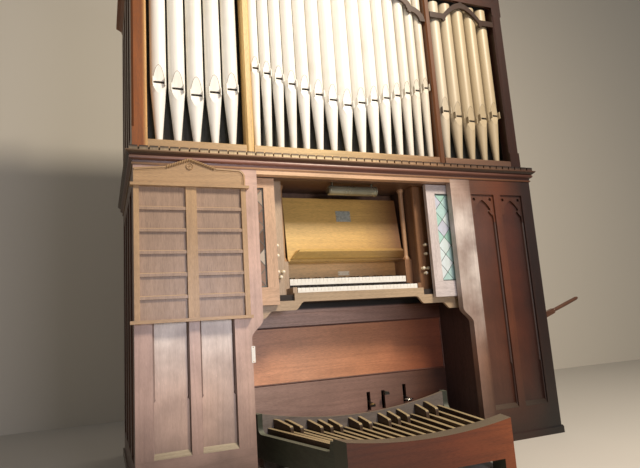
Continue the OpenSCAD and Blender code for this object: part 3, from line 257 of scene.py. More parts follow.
timbers = {
    # Oak, planed, stained and varnished: brown with open pores and a satin film over it. On the fronts, their panels
    # and the head, painted sheen makes it pale and hazy on the left, and painted shade darkens it to the right; painted
    # reflections whiten the right inner stile and the upper left panels
    "frontOak": {
        "name": "stained_oak_varnished", "colour": frontColoursPaintedLight, "heights": frontPaintedShadeByHeight, "rails": frontRails,
        "milky": (0.6, 0.772, 0.45, 1.05, "#c8beb8"), "contrast": 0.1, "poreDark": 0.86, "clouds": (0.8, 1.2),
        "cloudScale": 5.5, "coat": 0.35, "coatRoughness": 0.25,
    },
    "panelOak": {
        "name": "stained_oak_panel", "colour": panelColoursPaintedLight, "heights": frontPaintedShadeByHeight, "shift": (0.37, 0, 0.2),
        "milky": (-1.2, -0.72, 0.4, 0.85, "#dad2ce"), "contrast": 0.08, "poreDark": 0.88, "clouds": (0.78, 1.24),
        "cloudScale": 5.5, "coat": 0.35, "coatRoughness": 0.25,
    },
    "headOak": {
        "name": "stained_oak_head", "rails": frontRails, "contrast": 0.14,
        "colour": ((-1.26, "#b89884"), (-0.69, "#e2bc98"), (0.1, "#dcb28e"), (0.6, "#a07c64"), (0.8, "#6a4636"),
                   (1.2, "#2a140c")),
    },
    "sideOak": {"name": "stained_oak_side", "colour": "#5a382a", "rails": [(-0.1, 0.155), (1.52, 1.72), (2.915, 3.2)]},
    # Oak, run with a moulding plane. Each member's light and shade is painted in as a band of its own, and painted
    # light and shade make the moulding, the dentils and the toe board pale left of the middle and dark to the right
    "mouldingOak": {
        "name": "stained_oak_moulding", "heights": impostPaintedShades, "grain": "x", "contrast": 0.12,
        "colour": ((-1.28, "#a8a49c"), (-0.9, "#f4e8e0"), (0.3, "#ccbcb0"), (1.2, "#785a4a")),
    },
    "dentilOak": {
        "name": "oak_dentils_painted_light_and_shade", "heights": dentilPaintedShadow,
        "colour": ((-1.28, "#7c6c58"), (-0.9, "#c8b08a"), (-0.3, "#ecd4a4"), (0.3, "#b08e6a"), (0.65, "#76583f"),
                   (1.2, "#453026")),
    },
    "toeOak": {
        "name": "golden_oak_toe_board", "grain": "x",
        "colour": ((-1.2, "#a98b66"), (-0.9, "#b5956c"), (-0.2, "#cdb07c"), (0.35, "#b29066"), (0.65, "#7c5c46"),
                   (1.25, "#553c30")),
    },
    # Oak of the case above, thinly varnished: redder and duller. A painted highlight runs along the left post's inner
    # arris, painted light makes the inner posts pale on the left, and painted shade darkens posts, rails and arches to
    # the right
    "upperOak": {
        "name": "stained_oak_upper", "rails": upperRails, "contrast": 0.16, "coat": 0.08,
        "colour": ((-1.2, "#8c4f22"), (-1.199, "#8c4f22"), (-1.197, "#dcb074"), (-1.182, "#dcb074"),
                   (-1.18, "#8c4f22"), (0.0, "#7c4c2a"), (0.9, "#421c0a"), (1.2, "#2c1208")),
    },
    "innerOak": {
        "name": "golden_oak_inner_posts", "rails": upperRails, "contrast": 0.16, "coat": 0.08,
        "colour": ((-0.7, "#deb876"), (-0.6, "#e4c080"), (0.6, "#6a3e1c"), (0.7, "#4c2a12")),
    },
    "archOak": {
        "name": "stained_oak_arch", "grain": "x", "coat": 0.05,
        "colour": ((-1.2, "#70462a"), (0.0, "#54321c"), (0.6, "#3c2212"), (1.2, "#2c170a")),
    },
    # Golden oak, planed and varnished later: lighter, with a close figure
    "hymnOak": {"name": "golden_oak_hymn", "colour": "#b4926b", "rails": [(0.8, 0.832), (1.49, 1.7)], "contrast": 0.12},
    # The hymn board's tops and the ledges' tops carry a painted highlight, as light from above falls on them
    "hymnBack": {"name": "oak_hymn_back_painted_light", "colour": "#a08570", "contrast": 0.12, "top": ("#c8aa86", 0.9)},
    # Painted shade darkens the desk to the right
    "deskOak": {
        "name": "golden_oak_desk", "grain": "x", "contrast": 0.08,
        "colour": ((-0.39, "#d5b063"), (0.12, "#cca45c"), (0.37, "#6e4723")),
    },
    "apronOak": {"name": "golden_oak_apron", "colour": "#b29b7f", "grain": "x", "contrast": 0.1},
    # Painted shade darkens the right jamb
    "jambOak": {
        "name": "golden_oak_jamb", "contrast": 0.12, "colour": ((-0.5, "#bca58c"), (0.0, "#a88a6c"), (0.46, "#845d3f")),
    },
    # The name board is painted paler than its wood, as painted light against the shadow of the desk's ledge, and
    # painted shade darkens it to the right
    "nameOak": {
        "name": "walnut_name_board", "grain": "x", "contrast": 0.12,
        "colour": ((-0.4, "#f4d29c"), (0.0, "#ecc692"), (0.3, "#c6965d")),
    },
    # A painted sheen turns the right door's wood pale grey
    "doorOak": {
        "name": "oak_door", "rails": [(0.87, 0.974), (1.525, 1.6)], "contrast": 0.1,
        "colour": ((-0.6, "#cda887"), (0.6, "#cbc2c2")),
    },
    # Oak in the shade of the key space, planed and little polished: plain and dull
    "recessOak": {"name": "dark_oak_recess", "colour": "#70523e", "coat": 0.1},
    "columnOak": {"name": "turned_oak_column", "colour": "#b8906c", "coat": 0.1},
    # Painted shade: the key bed near black and the knee side dark brown, as they lie in shadow
    "bedOak": {"name": "oak_key_bed_painted_shade", "colour": "#2a201a", "grain": "x", "coat": 0.0, "roughness": (0.6, 0.8)},
    "kneeSideOak": {"name": "oak_knee_side_painted_shade", "colour": "#46302a", "coat": 0.0, "roughness": (0.5, 0.7)},
    "backingBoard": {"name": "dark_stained_board", "colour": "#41423d", "coat": 0.0, "roughness": (0.6, 0.8)},
    # Knee panel, French polished: orange and glossy, with wide clouds. Painted shade darkens the panel and its rails to
    # the right
    "kneeOak": {
        "name": "orange_oak_knee", "grain": "x", "coat": 0.4, "contrast": 0.12, "clouds": (0.8, 1.16),
        "colour": ((-0.5, "#e0a27e"), (-0.3, "#dca280"), (0.1, "#cc8c66"), (0.45, "#985838"), (0.6, "#7c4028")),
    },
    "railOak": {
        "name": "oak_rails_painted_shade", "heights": railPaintedShadowByHeight, "grain": "x", "contrast": 0.14, "clouds": (0.82, 1.14),
        "colour": ((-0.6, "#ceb0a4"), (0.0, "#bc9a8e"), (0.5, "#6e4838"), (0.62, "#523024")),
    },
    # Beads and sills, stained. The panel beads' tops are paler and their left-facing sides carry painted shade, and
    # painted light and shade make the panel beads and sills pale on the left and near black on the right
    "beadOak": {
        "name": "stained_bead_painted_light_and_shade", "colour": ((-1.2, "#94807a"), (0.7, "#5a3c2e"), (1.2, "#20100a")),
        "top": ("#8a745a", 0.6), "left": ("#3a2016", 0.7), "relief": 0.05, "coat": 0.05, "roughness": (0.5, 0.7),
    },
    "sillOak": {
        "name": "oak_sill_painted_light_and_shade", "grain": "x",
        "colour": ((-1.2, "#9c8f7a"), (-0.7, "#a89a82"), (0.78, "#4a382a"), (1.2, "#20140d")),
    },
    "kneeBeadOak": {"name": "dark_stained_knee_bead", "colour": "#5c3426", "grain": "x", "relief": 0.05, "coat": 0.05},
    # Wood under the feet, worn matt: shoes have rubbed the tops pale and grey, and painted light on the tops adds to
    # that. The dark sides and ends of the beam and the pedals are painted shade, and so is the near black of the pedal
    # frame's sides
    "beamOak": {
        "name": "worn_oak_beam_painted_light_and_shade", "colour": ((-0.5, "#411c0a"), (0.1, "#5e290e"), (0.6, "#84441f")), "grain": "x",
        "left": ("#34382a", 0.95), "right": ("#34382a", 0.95), "top": ("#726858", 0.95),
        "coat": 0.1, "roughness": (0.5, 0.7),
    },
    "toeRailOak": {
        "name": "dusty_toe_rail", "colour": "#726861", "grain": "x", "top": ("#8f8070", 0.8), "coat": 0.0,
        "roughness": (0.55, 0.75),
    },
    "pedalSideWood": {
        "name": "pedal_side_painted_light_and_shade", "colour": "#363a2c", "grain": "y", "top": ("#7a7c6c", 0.9), "coat": 0.0,
        "roughness": (0.5, 0.7),
    },
    "pedalMaple": {
        "name": "bare_maple", "colour": "#44301c", "grain": "y", "top": ("#bba882", 0.97), "coat": 0.0,
        "roughness": (0.5, 0.7),
    },
    # Ash, oiled: dark from hands, with a faint figure
    "handleAsh": {"name": "dark_oiled_ash", "colour": "#5a3826", "grain": "x", "contrast": 0.15},
}
finishes = {key: timber(settings) for key, settings in timbers.items()}
print("timbers made:", len(finishes))


# Pipe metal with thin cream oil paint, brushed along the pipe: pale and satin, with soft streaks up each pipe, greyer
# patches where it has worn, and painted shade that makes it darker and warmer towards the right
pipePaint = {
    "name": "cream_painted_pipe_metal", "roughness": 0.46, "coat": 0.1, "coatRoughness": 0.3,
    "colours": ("#f0ede6", "#faf8f2"),
    "streaks": (70, 70, 3),  # to the metre: 14 mm across and 330 mm along, coarser than bristle marks so that they show
    "worn": "#dcd4c2", "wornScale": 5.0, "wornAmount": 0.35,  # patches 200 mm wide
    "paintedShade": "#b3a48a", "paintedShadeFrom": 0.1, "paintedShadeTo": 0.95,  # places along X
    "relief": 0.12, "reliefDepth": 0.0004,
}


def paintedMetal(paint):
    material, tree = newMaterial(paint["name"])
    place = addNode(tree, "ShaderNodeTexCoord").outputs["Object"]
    streaks = addNode(tree, "ShaderNodeMapping", {"Vector": place, "Scale": paint["streaks"]})
    brushed = addNode(tree, "ShaderNodeTexNoise", {"Vector": streaks, "Scale": 1.0, "Detail": 3.0})
    low, high = (toLinear(colour) for colour in paint["colours"])
    colour = addNode(tree, "ShaderNodeValToRGB", (brushed,), [(0.3, low), (0.6, high)])
    patches = addNode(tree, "ShaderNodeTexNoise", {"Vector": place, "Scale": paint["wornScale"], "Detail": 2.0})
    worn = addNode(tree, "ShaderNodeMapRange", (patches, 0.55, 0.75, 0.0, paint["wornAmount"]))
    colour = addNode(tree, "ShaderNodeMix", {0: worn, 6: colour, 7: toLinear(paint["worn"])}, data_type="RGBA")
    across = addNode(tree, "ShaderNodeSeparateXYZ", (place,)).outputs[0]
    paintedShade = addNode(tree, "ShaderNodeMapRange", (across, paint["paintedShadeFrom"], paint["paintedShadeTo"], 0.0, 1.0),
                       interpolation_type="SMOOTHSTEP")
    inputs = {0: paintedShade, 6: [1.0] * 4, 7: toLinear(paint["paintedShade"])}
    shadeTint = addNode(tree, "ShaderNodeMix", inputs, data_type="RGBA")
    shader = addNode(tree, "ShaderNodeBsdfPrincipled", {
        "Base Color": addNode(tree, "ShaderNodeMix", {0: 1.0, 6: colour, 7: shadeTint}, data_type="RGBA",
                              blend_type="MULTIPLY"),
        "Roughness": paint["roughness"],
        "Coat Weight": paint["coat"],
        "Coat Roughness": paint["coatRoughness"],
        "Normal": addNode(tree, "ShaderNodeBump", {
            "Height": brushed, "Strength": paint["relief"], "Distance": paint["reliefDepth"]}),
    })
    addNode(tree, "ShaderNodeOutputMaterial", {"Surface": shader})
    return material


finishes["pipePaint"] = paintedMetal(pipePaint)

# Small fittings: two shades that mottle into each other in cells of so many millimetres
mottledFinishes = {
    # Bone, sawn and polished: off white, clean and glossy
    "ivory": {"name": "bone_key_covering", "shades": ("#e8e6de", "#f6f5f0"), "cell": 30, "roughness": 0.28},
    "knobIvory": {"name": "turned_bone_knob", "shades": ("#e0cfa8", "#f6e9cc"), "cell": 12, "roughness": 0.25},
    "bonePlate": {"name": "polished_bone_plate", "shades": ("#ece2c8", "#faf3e0"), "cell": 18, "roughness": 0.3},
    # Ebony, scraped and polished: nearly black, with a bright sheen from fingers
    "ebony": {"name": "polished_ebony", "shades": ("#0c0b0a", "#1a1815"), "cell": 20, "roughness": 0.25},
    # Iron, forged: dark and uneven, bright only where it has been touched
    "iron": {"name": "forged_iron", "shades": ("#2e2c2a", "#5e5b56"), "cell": 9, "roughness": 0.42, "relief": 0.25,
             "metallic": 0.8},
    # Brass tube under greyed lacquer: dull yellow grey, smooth, with long reflections
    "lampMetal": {"name": "greyed_lacquered_brass", "shades": ("#8c8a76", "#a3a18c"), "cell": 90, "roughness": 0.26,
                  "relief": 0.02, "metallic": 0.6},
    # Lead, drawn through rollers and oxidised: grey and matt, with dents
    "lead": {"name": "oxidised_lead_came", "shades": ("#5c6260", "#7c827e"), "cell": 7, "roughness": 0.5,
             "relief": 0.3, "metallic": 0.4},
    # Painted shade in the pipes' mouths, where their insides lie in shadow: nearly black and matt
    "pipeMouthShade": {"name": "pipe_mouth_painted_shade", "shades": ("#17120e", "#2c241c"), "cell": 15, "roughness": 0.85},
    "lipLine": {"name": "dusty_scribed_metal", "shades": ("#7c7466", "#958d7c"), "cell": 20, "roughness": 0.5},
    # Enamel, fired on iron: white and glassy
    "enamel": {"name": "white_enamelled_plate", "shades": ("#e9e6df", "#f6f4ef"), "cell": 25, "roughness": 0.22},
    # Zinc, rolled and greyed: soft grey with blotches
    "zincPlate": {"name": "greyed_zinc_plate", "shades": ("#94988f", "#bcbfb6"), "cell": 14, "roughness": 0.4,
                  "metallic": 0.4},
    # Lever pads, worn by shoes: bright steel, yellow brass, and green paint that still covers its iron
    "steelPad": {"name": "worn_polished_steel", "shades": ("#c4c4bc", "#e6e6e0"), "cell": 8, "roughness": 0.16,
                 "metallic": 1.0},
    "brassPad": {"name": "worn_brass_pad", "shades": ("#a88c58", "#cdb27c"), "cell": 8, "roughness": 0.28,
                 "metallic": 0.9},
    "darkPad": {"name": "green_painted_iron_pad", "shades": ("#23261c", "#34382a"), "cell": 8, "roughness": 0.4},
    # Brass, turned: small golden points
    "brassScrew": {"name": "brass_screw_head", "shades": ("#8d6a34", "#c49a54"), "cell": 4, "roughness": 0.35,
                   "metallic": 0.9},
}


def mottled(settings):
    made = {"relief": 0.1, "metallic": 0.0, **settings}
    material, tree = newMaterial(made["name"])
    place = addNode(tree, "ShaderNodeTexCoord").outputs["Object"]
    mottle = addNode(tree, "ShaderNodeTexNoise", {"Vector": place, "Scale": 1000 / made["cell"], "Detail": 3.0})
    low, high = (toLinear(shade) for shade in made["shades"])
    rough = made["roughness"]
    shader = addNode(tree, "ShaderNodeBsdfPrincipled", {
        "Base Color": addNode(tree, "ShaderNodeValToRGB", (mottle,), [(0.3, low), (0.7, high)]),
        "Roughness": addNode(tree, "ShaderNodeMapRange", (mottle, 0.3, 0.7, rough * 1.2, rough * 0.85)),
        "Metallic": made["metallic"],
        "Normal": addNode(tree, "ShaderNodeBump", {"Height": mottle, "Strength": made["relief"], "Distance": 0.0005}),
    })
    addNode(tree, "ShaderNodeOutputMaterial", {"Surface": shader})
    return material


finishes.update({key: mottled(settings) for key, settings in mottledFinishes.items()})


# The lattice of both doors: panes six across and five up in each opening
lattice = {"across": 6, "up": 5, "rail": 0.062, "low": 0.974, "high": 1.525}
openings = {}
for side in ("left", "right"):
    low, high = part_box(side + "_door")
    openings[side] = (low[0] + lattice["rail"], high[0] - lattice["rail"], lattice["low"], lattice["high"])
# Leaded glass, drawn by hand and painted thinly: smooth panes of differing tints, with a slow swirl, that let
# little light through
glass = {
    # The left door's tints are browner than the right's: a painted reflection of brown in that glass
    "left": ("#96796a", "#b9a594", "#7c6456", "#cfc2b4", "#a08474"),
    "right": ("#aad3c9", "#d8e6e8", "#c8ccde", "#9fc9bd", "#e0eaf0", "#d0cade", "#b9d9d8"),
    "roughness": 0.14, "transmission": 0.12,
    "swirl": "#eef3ee", "swirlScale": 26.0,  # to the metre: 38 mm wide
    "relief": 0.25, "reliefDepth": 0.001,
}


# Diamond panes: each pane's tint comes from the row and column that its place falls in. These are the whole numbers of
# the sum and the difference of the pane counts along X and up Z.
def leadedGlass(side):
    material, tree = newMaterial("painted_leaded_glass_" + side)
    place = addNode(tree, "ShaderNodeTexCoord").outputs["Object"]
    parts = addNode(tree, "ShaderNodeSeparateXYZ", (place,)).outputs
    x0, x1, z0, z1 = openings[side]
    counts = []
    for part, low, high, panes in ((parts[0], x0, x1, lattice["across"]), (parts[2], z0, z1, lattice["up"])):
        gone = addNode(tree, "ShaderNodeMath", (part, low), operation="SUBTRACT")
        counts.append(addNode(tree, "ShaderNodeMath", (gone, (high - low) / panes), operation="DIVIDE"))
    cell = []
    for operation in ("ADD", "SUBTRACT"):
        both = addNode(tree, "ShaderNodeMath", counts, operation=operation)
        cell.append(addNode(tree, "ShaderNodeMath", (both,), operation="FLOOR"))
    cell = addNode(tree, "ShaderNodeCombineXYZ", cell)
    pick = addNode(tree, "ShaderNodeTexWhiteNoise", {"Vector": cell}, noise_dimensions="2D")
    stops = [(i / len(glass[side]), toLinear(tint)) for i, tint in enumerate(glass[side])]
    colour = addNode(tree, "ShaderNodeValToRGB", (pick,), stops)
    colour.color_ramp.interpolation = "CONSTANT"
    inputs = {"Vector": place, "Scale": glass["swirlScale"], "Detail": 3.0, "Distortion": 1.5}
    swirl = addNode(tree, "ShaderNodeTexNoise", inputs)
    amount = addNode(tree, "ShaderNodeMapRange", (swirl, 0.35, 0.65, 0.0, 0.5))
    shader = addNode(tree, "ShaderNodeBsdfPrincipled", {
        "Base Color": addNode(tree, "ShaderNodeMix", {0: amount, 6: colour, 7: toLinear(glass["swirl"])},
                              data_type="RGBA", blend_type="MULTIPLY"),
        "Roughness": glass["roughness"],
        "Transmission Weight": glass["transmission"],
        "Normal": addNode(tree, "ShaderNodeBump", {
            "Height": swirl, "Strength": glass["relief"], "Distance": glass["reliefDepth"]}),
    })
    addNode(tree, "ShaderNodeOutputMaterial", {"Surface": shader})
    return material


finishes.update({side + "Glass": leadedGlass(side) for side in openings})

finishOf = {
    "frontOak": ("front_frames", "plinth", "front_tracery"),
    "headOak": ("front_head",),
    "panelOak": ("front_panels",),
    "sideOak": ("lower_sides", "upper_sides", "back_wall", "roof", "centre_head"),
    "mouldingOak": ("impost",),
    "dentilOak": ("dentils",),
    "toeOak": ("toe_board",),
    "upperOak": ("corner_posts", "top_rails", "cornices"),
    "innerOak": ("inner_posts",),
    "archOak": ("side_arches", "centre_arch"),
    "pipePaint": ("pipes_left", "pipes_centre", "pipes_right"),
    "backingBoard": ("pipe_backing",),
    "hymnOak": ("hymn_frame", "hymn_heading"),
    "hymnBack": ("hymn_board", "hymn_ledges"),
    "jambOak": ("stop_jambs", "key_cheeks"),
    "apronOak": ("apron",),
    "deskOak": ("music_desk",),
    "nameOak": ("name_board",),
    "recessOak": ("key_recess", "door_tracks"),
    "columnOak": ("columns",),
    "bedOak": ("key_bed",),
    "railOak": ("knee_rails",),
    "kneeSideOak": ("knee_sides",),
    "kneeOak": ("knee_panel",),
    "ivory": ("lower_keys", "upper_keys"),
    "knobIvory": ("stop_knobs",),
    "ebony": ("black_keys",),
    "lampMetal": ("desk_lamp",),
    "beamOak": ("heel_beam",),
    "toeRailOak": ("pedal_toe_board",),
    "pedalSideWood": ("pedal_sides",),
    "pedalMaple": ("long_pedals", "short_pedals"),
    "iron": ("pivots", "lever_left", "lever_middle", "lever_right"),
    "doorOak": ("left_door", "right_door"),
    "leftGlass": ("left_glass",),
    "rightGlass": ("right_glass",),
    "handleAsh": ("blowing_handle",),
}
for finish, members in finishOf.items():
    for member in members:
        slots = nodes[member].data.materials
        slots.clear()
        slots.append(finishes[finish])
print("finishes given to", sum(len(m) for m in finishOf.values()), "nodes")


sharpAngle = 38  # degrees between faces, past which an edge stays sharp


# A piece from a surface, with its finish and the body that carries it
def addPiece(name, surface, finish, body="case"):
    points, quads, ends = surface
    mesh = bpy.data.meshes.new(name)
    mesh.from_pydata(points.tolist(), [], quads.tolist() + [end.tolist() for end in ends])
    mesh.polygons.foreach_set("use_smooth", np.full(len(mesh.polygons), True))
    mesh.materials.append(finishes[finish])
    mesh.update()
    mesh.set_sharp_from_angle(angle=math.radians(sharpAngle))
    obj = bpy.data.objects.new(name, mesh)
    bpy.context.scene.collection.objects.link(obj)
    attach(obj, body)


# A closed surface from a grid of points: its columns close on themselves, and its rows close too (loop) or end in a
# face. Its signed volume, the sum over triangles of the first corner times the cross product of the other two, says
# whether the faces already point outward. It gives the points, the faces with four corners and the end faces.
def gridSurface(grid, loop=False):
    rows, columns = grid.shape[:2]
    points = grid.reshape(-1, 3)
    i, j = np.meshgrid(np.arange(rows if loop else rows - 1), np.arange(columns), indexing="ij")
    i, j = i.ravel(), j.ravel()
    k, l = (i + 1) % rows, (j + 1) % columns
    quads = np.stack([i * columns + j, i * columns + l, k * columns + l, k * columns + j], axis=1)
    ring = np.arange(columns)
    ends = [] if loop else [ring[::-1], ring + (rows - 1) * columns]
    fans = [np.stack([np.full(columns - 2, end[0]), end[1:-1], end[2:]], axis=1) for end in ends]
    triangles = (points - points.mean(axis=0))[np.concatenate([quads[:, [0, 1, 2]], quads[:, [0, 2, 3]], *fans])]
    volume = (triangles[:, 0] * np.cross(triangles[:, 1], triangles[:, 2])).sum()
    order = 1 if volume > 0 else -1
    return points, quads[:, ::order], [end[::order] for end in ends]


# Several surfaces taken together as one
def joined(parts):
    starts = np.cumsum([0] + [len(points) for points, quads, ends in parts])
    points = np.concatenate([points for points, quads, ends in parts])
    quads = np.concatenate([quads + start for (_, quads, _), start in zip(parts, starts)])
    return points, quads, [end + start for (_, _, ends), start in zip(parts, starts) for end in ends]


# A turned piece: each ring lies at one distance along the axis and one radius. The axis is X, or points to the front.
def turned(profile, place, axis="front", spokes=24, loop=False):
    along, radius = np.asarray(profile, float).T
    turn = np.linspace(0, 2 * np.pi, spokes, endpoint=False)
    first, second = np.outer(radius, np.cos(turn)), np.outer(radius, np.sin(turn))
    straight = np.repeat(along[:, None], spokes, axis=1)
    columns = (straight, first, second) if axis == "x" else (first, -straight, second)
    return gridSurface(np.stack(columns, axis=2) + np.array(place), loop)


# An outline swept along a path in an upright plane that faces the front. At each point of the path the outline's first
# number goes to the left of the path along the mitre, and its second number goes towards the front. It can be narrower
# at some of the path's points.
def swept(path, outline, y, widths=1.0):
    path, outline = np.asarray(path, float), np.asarray(outline, float)
    steps = np.diff(path, axis=0)
    steps /= np.linalg.norm(steps, axis=1)[:, None]
    before, after = np.vstack([steps[:1], steps]), np.vstack([steps, steps[-1:]])
    mitre = np.stack([-(before + after)[:, 1], (before + after)[:, 0]], axis=1)
    mitre /= 1 + (before * after).sum(axis=1)[:, None]
    widths = np.broadcast_to(widths, len(path))[:, None, None]
    place = path[:, None, :] + mitre[:, None, :] * outline[None, :, :1] * widths
    front = np.broadcast_to(y - outline[None, :, 1], place.shape[:2])
    return gridSurface(np.stack([place[:, :, 0], front, place[:, :, 1]], axis=2))


cames = {
    "width": 0.0042, "border": 0.008,
    "high": 0.0016, "borderHigh": 0.00184,  # over the glass
    "blunt": 0.7,  # power that squares the strip's oval section
    "joint": 0.0044, "jointHigh": 0.0024,
}


# A strip of lead between two points, seen on both sides of the glass. Its section is an oval whose width is a power of
# the cosine, which makes its edges blunt.
def cameStrip(start, end, y, width, high):
    start, end = np.array(start), np.array(end)
    along = (end - start) / np.linalg.norm(end - start)
    across = np.array([-along[1], along[0]])
    turn = np.linspace(0, 2 * np.pi, 10, endpoint=False)
    offset = np.sign(np.cos(turn)) * np.abs(np.cos(turn)) ** cames["blunt"] * width / 2
    place = np.array([start, end])[:, None, :] + offset[None, :, None] * across
    depth = np.broadcast_to(y + high * np.sin(turn), place.shape[:2])
    return gridSurface(np.stack([place[:, :, 0], depth, place[:, :, 1]], axis=2))


def glazingBars(side):
    x0, x1, z0, z1 = openings[side]
    low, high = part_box(side + "_glass")
    middle, half = (low[1] + high[1]) / 2, (high[1] - low[1]) / 2
    stepX, stepZ = (x1 - x0) / lattice["across"], (z1 - z0) / lattice["up"]
    parts = []
    for total in range(1, lattice["across"] + lattice["up"]):
        # Each bar runs where the pane counts along X and up Z add up to a whole number, and so does its mirror image
        ends = max(0, total - lattice["up"]), min(total, lattice["across"])
        for sign, edge in ((1, x0), (-1, x1)):
            start, end = ((edge + sign * u * stepX, z0 + (total - u) * stepZ) for u in ends)
            parts.append(cameStrip(start, end, middle, cames["width"], half + cames["high"]))
    rim = cames["border"] / 2
    corners = [(x0 + rim, z0 + rim), (x1 - rim, z0 + rim), (x1 - rim, z1 - rim), (x0 + rim, z1 - rim)]
    for start, end in zip(corners, corners[1:] + corners[:1]):
        parts.append(cameStrip(start, end, middle, cames["border"], half + cames["borderHigh"]))
    # A blob of solder on every crossing: a flattened ball
    lean = np.linspace(-0.4 * np.pi, 0.4 * np.pi, 5)
    ball = np.stack([(half + cames["jointHigh"]) * np.sin(lean), cames["joint"] * np.cos(lean)], axis=1)
    for i in range(1, 2 * lattice["across"]):
        for j in range(2 - i % 2, 2 * lattice["up"], 2):
            parts.append(turned(ball, (x0 + i * stepX / 2, middle, z0 + j * stepZ / 2), spokes=8))
    addPiece("cames_" + side, joined(parts), "lead", body="door_" + side)


for side in openings:
    glazingBars(side)
print("cames made")


# Beads round the sunk panels of the lower fronts, and the sills below them
beads = {
    "low": 0.186, "top": 1.3358,  # the panels' heights
    "wide": 0.0105, "deep": 0.0115,
    "outside": 0.0077,  # from the end of the panels' solids to the outer panel's edge
    "panel": 0.175, "mullion": 0.052, "panelY": 0.0228,
    "stop": 0.43,  # height of the stops
    "rises": (0.0, 0.012, 0.022, 0.034), "swell": (0.42, 0.42, 1.25, 1.0),  # shares of the width, up from the stops
    "sill": 0.026, "sillEdge": 0.003, "sillBack": 0.0015, "sunk": 0.001,
}


# The bead is a quarter round that leans against the frame's inner edge. Above the stops its full width shows. Below
# them it is thin, and between the two it swells out for a moment. The sill slopes from the panel to the bottom rail's
# front edge, and its section is a wedge.
def panelBeads():
    turn = np.linspace(0, np.pi / 2, 6)
    quarter = np.stack([beads["wide"] * np.cos(turn), beads["deep"] * np.sin(turn)], axis=1)
    outline = np.vstack([[0.0, 0.0], quarter])
    back = beads["panelY"] - beads["sillBack"]
    slope = [(-beads["sunk"], 0.0), (beads["sill"], 0.0), (beads["sillEdge"], back), (-beads["sunk"], back)]
    rises, swell = beads["rises"], list(beads["swell"])
    widths = [1.0] + swell[::-1] + swell[:1] * 2 + swell + [1.0]
    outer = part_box("front_panels")[1][0] - beads["outside"]
    rounds, sills = [], []
    for x1 in (outer, outer - beads["panel"] - beads["mullion"]):
        x0 = x1 - beads["panel"]
        fall = [(x0, beads["top"])] + [(x0, beads["stop"] + rise) for rise in rises[::-1]] + [(x0, beads["low"])]
        path = np.array(fall + [(x1, z) for _, z in fall[::-1]])
        rounds += [swept(path, outline, beads["panelY"], widths),
                   swept(path[::-1] * (-1, 1), outline, beads["panelY"], widths)]
        sills += [swept([(left, beads["low"]), (left + beads["panel"], beads["low"])], slope, beads["panelY"])
                  for left in (x0, -x1)]
    addPiece("panel_beads", joined(rounds), "beadOak")
    addPiece("panel_sills", joined(sills), "sillOak")


panelBeads()

kneeBead = {"inset": 0.004, "wide": 0.0055, "deep": 0.0065, "sunk": 0.0002}


# Bead round the knee panel, half over the rails: its section is half an oval
def beadRoundPanel(bead):
    low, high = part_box("knee_panel")
    turn = np.linspace(0, np.pi, 9)
    outline = np.stack([bead["inset"] + bead["wide"] * np.cos(turn), bead["deep"] * np.sin(turn)], axis=1)
    corners = [(low[0], low[2]), (high[0], low[2]), (high[0], high[2]), (low[0], high[2])]
    addPiece("knee_bead", swept(corners + corners[:1], outline, low[1] + bead["sunk"]), "kneeBeadOak")


beadRoundPanel(kneeBead)
print("panels dressed")


# Mouldings of the hymn board's heading, with heights over its lower edge
heading = {
    "left": -1.262, "right": -0.698, "y": -0.030,
    "middle": 0.487,  # the apex, as a share of the width
    "foot": 0.016, "shoulder": 0.092, "gable": 0.108, "apex": 0.152,
    "gableLeft": 0.119, "gableRight": 0.134,  # reach of the slopes from the middle
    "corner": 0.04, "cornerDrop": 0.028,
    "roll": 0.0048, "rollDeep": 0.8, "inset": 0.0075,
    "fine": 0.0016, "fineInset": 0.018,
    "rope": 0.0046, "strand": 0.0042, "pitch": 0.026, "ropeOut": 0.003,
    "step": 0.0009,  # length of rope to each ring of points
}


# One strand of the rope: a ring carried along a helix round the slope's line
def ropeStrand(start, end, phase):
    start, end = np.array(start), np.array(end)
    length = np.linalg.norm(end - start)
    along = (end - start) / length
    down = np.array([along[1], -along[0]])
    gone = np.linspace(heading["ropeOut"], length - heading["ropeOut"], int(length / heading["step"]))
    spin = 2 * np.pi * gone / heading["pitch"] + phase
    below = heading["inset"] + heading["rope"] * np.cos(spin)
    line = start + gone[:, None] * along + below[:, None] * down
    depth = heading["y"] - heading["ropeOut"] - heading["rope"] * np.sin(spin)
    centre = np.stack([line[:, 0], depth, line[:, 1]], axis=1)
    tangent = np.gradient(centre, axis=0)
    side = np.cross(tangent, [0.0, 1.0, 0.0])
    up = np.cross(side, tangent)
    side /= np.linalg.norm(side, axis=1)[:, None]
    up /= np.linalg.norm(up, axis=1)[:, None]
    turn = np.linspace(0, 2 * np.pi, 8, endpoint=False)[None, :, None]
    return gridSurface(centre[:, None] + heading["strand"] * (np.cos(turn) * side[:, None] + np.sin(turn) * up[:, None]))


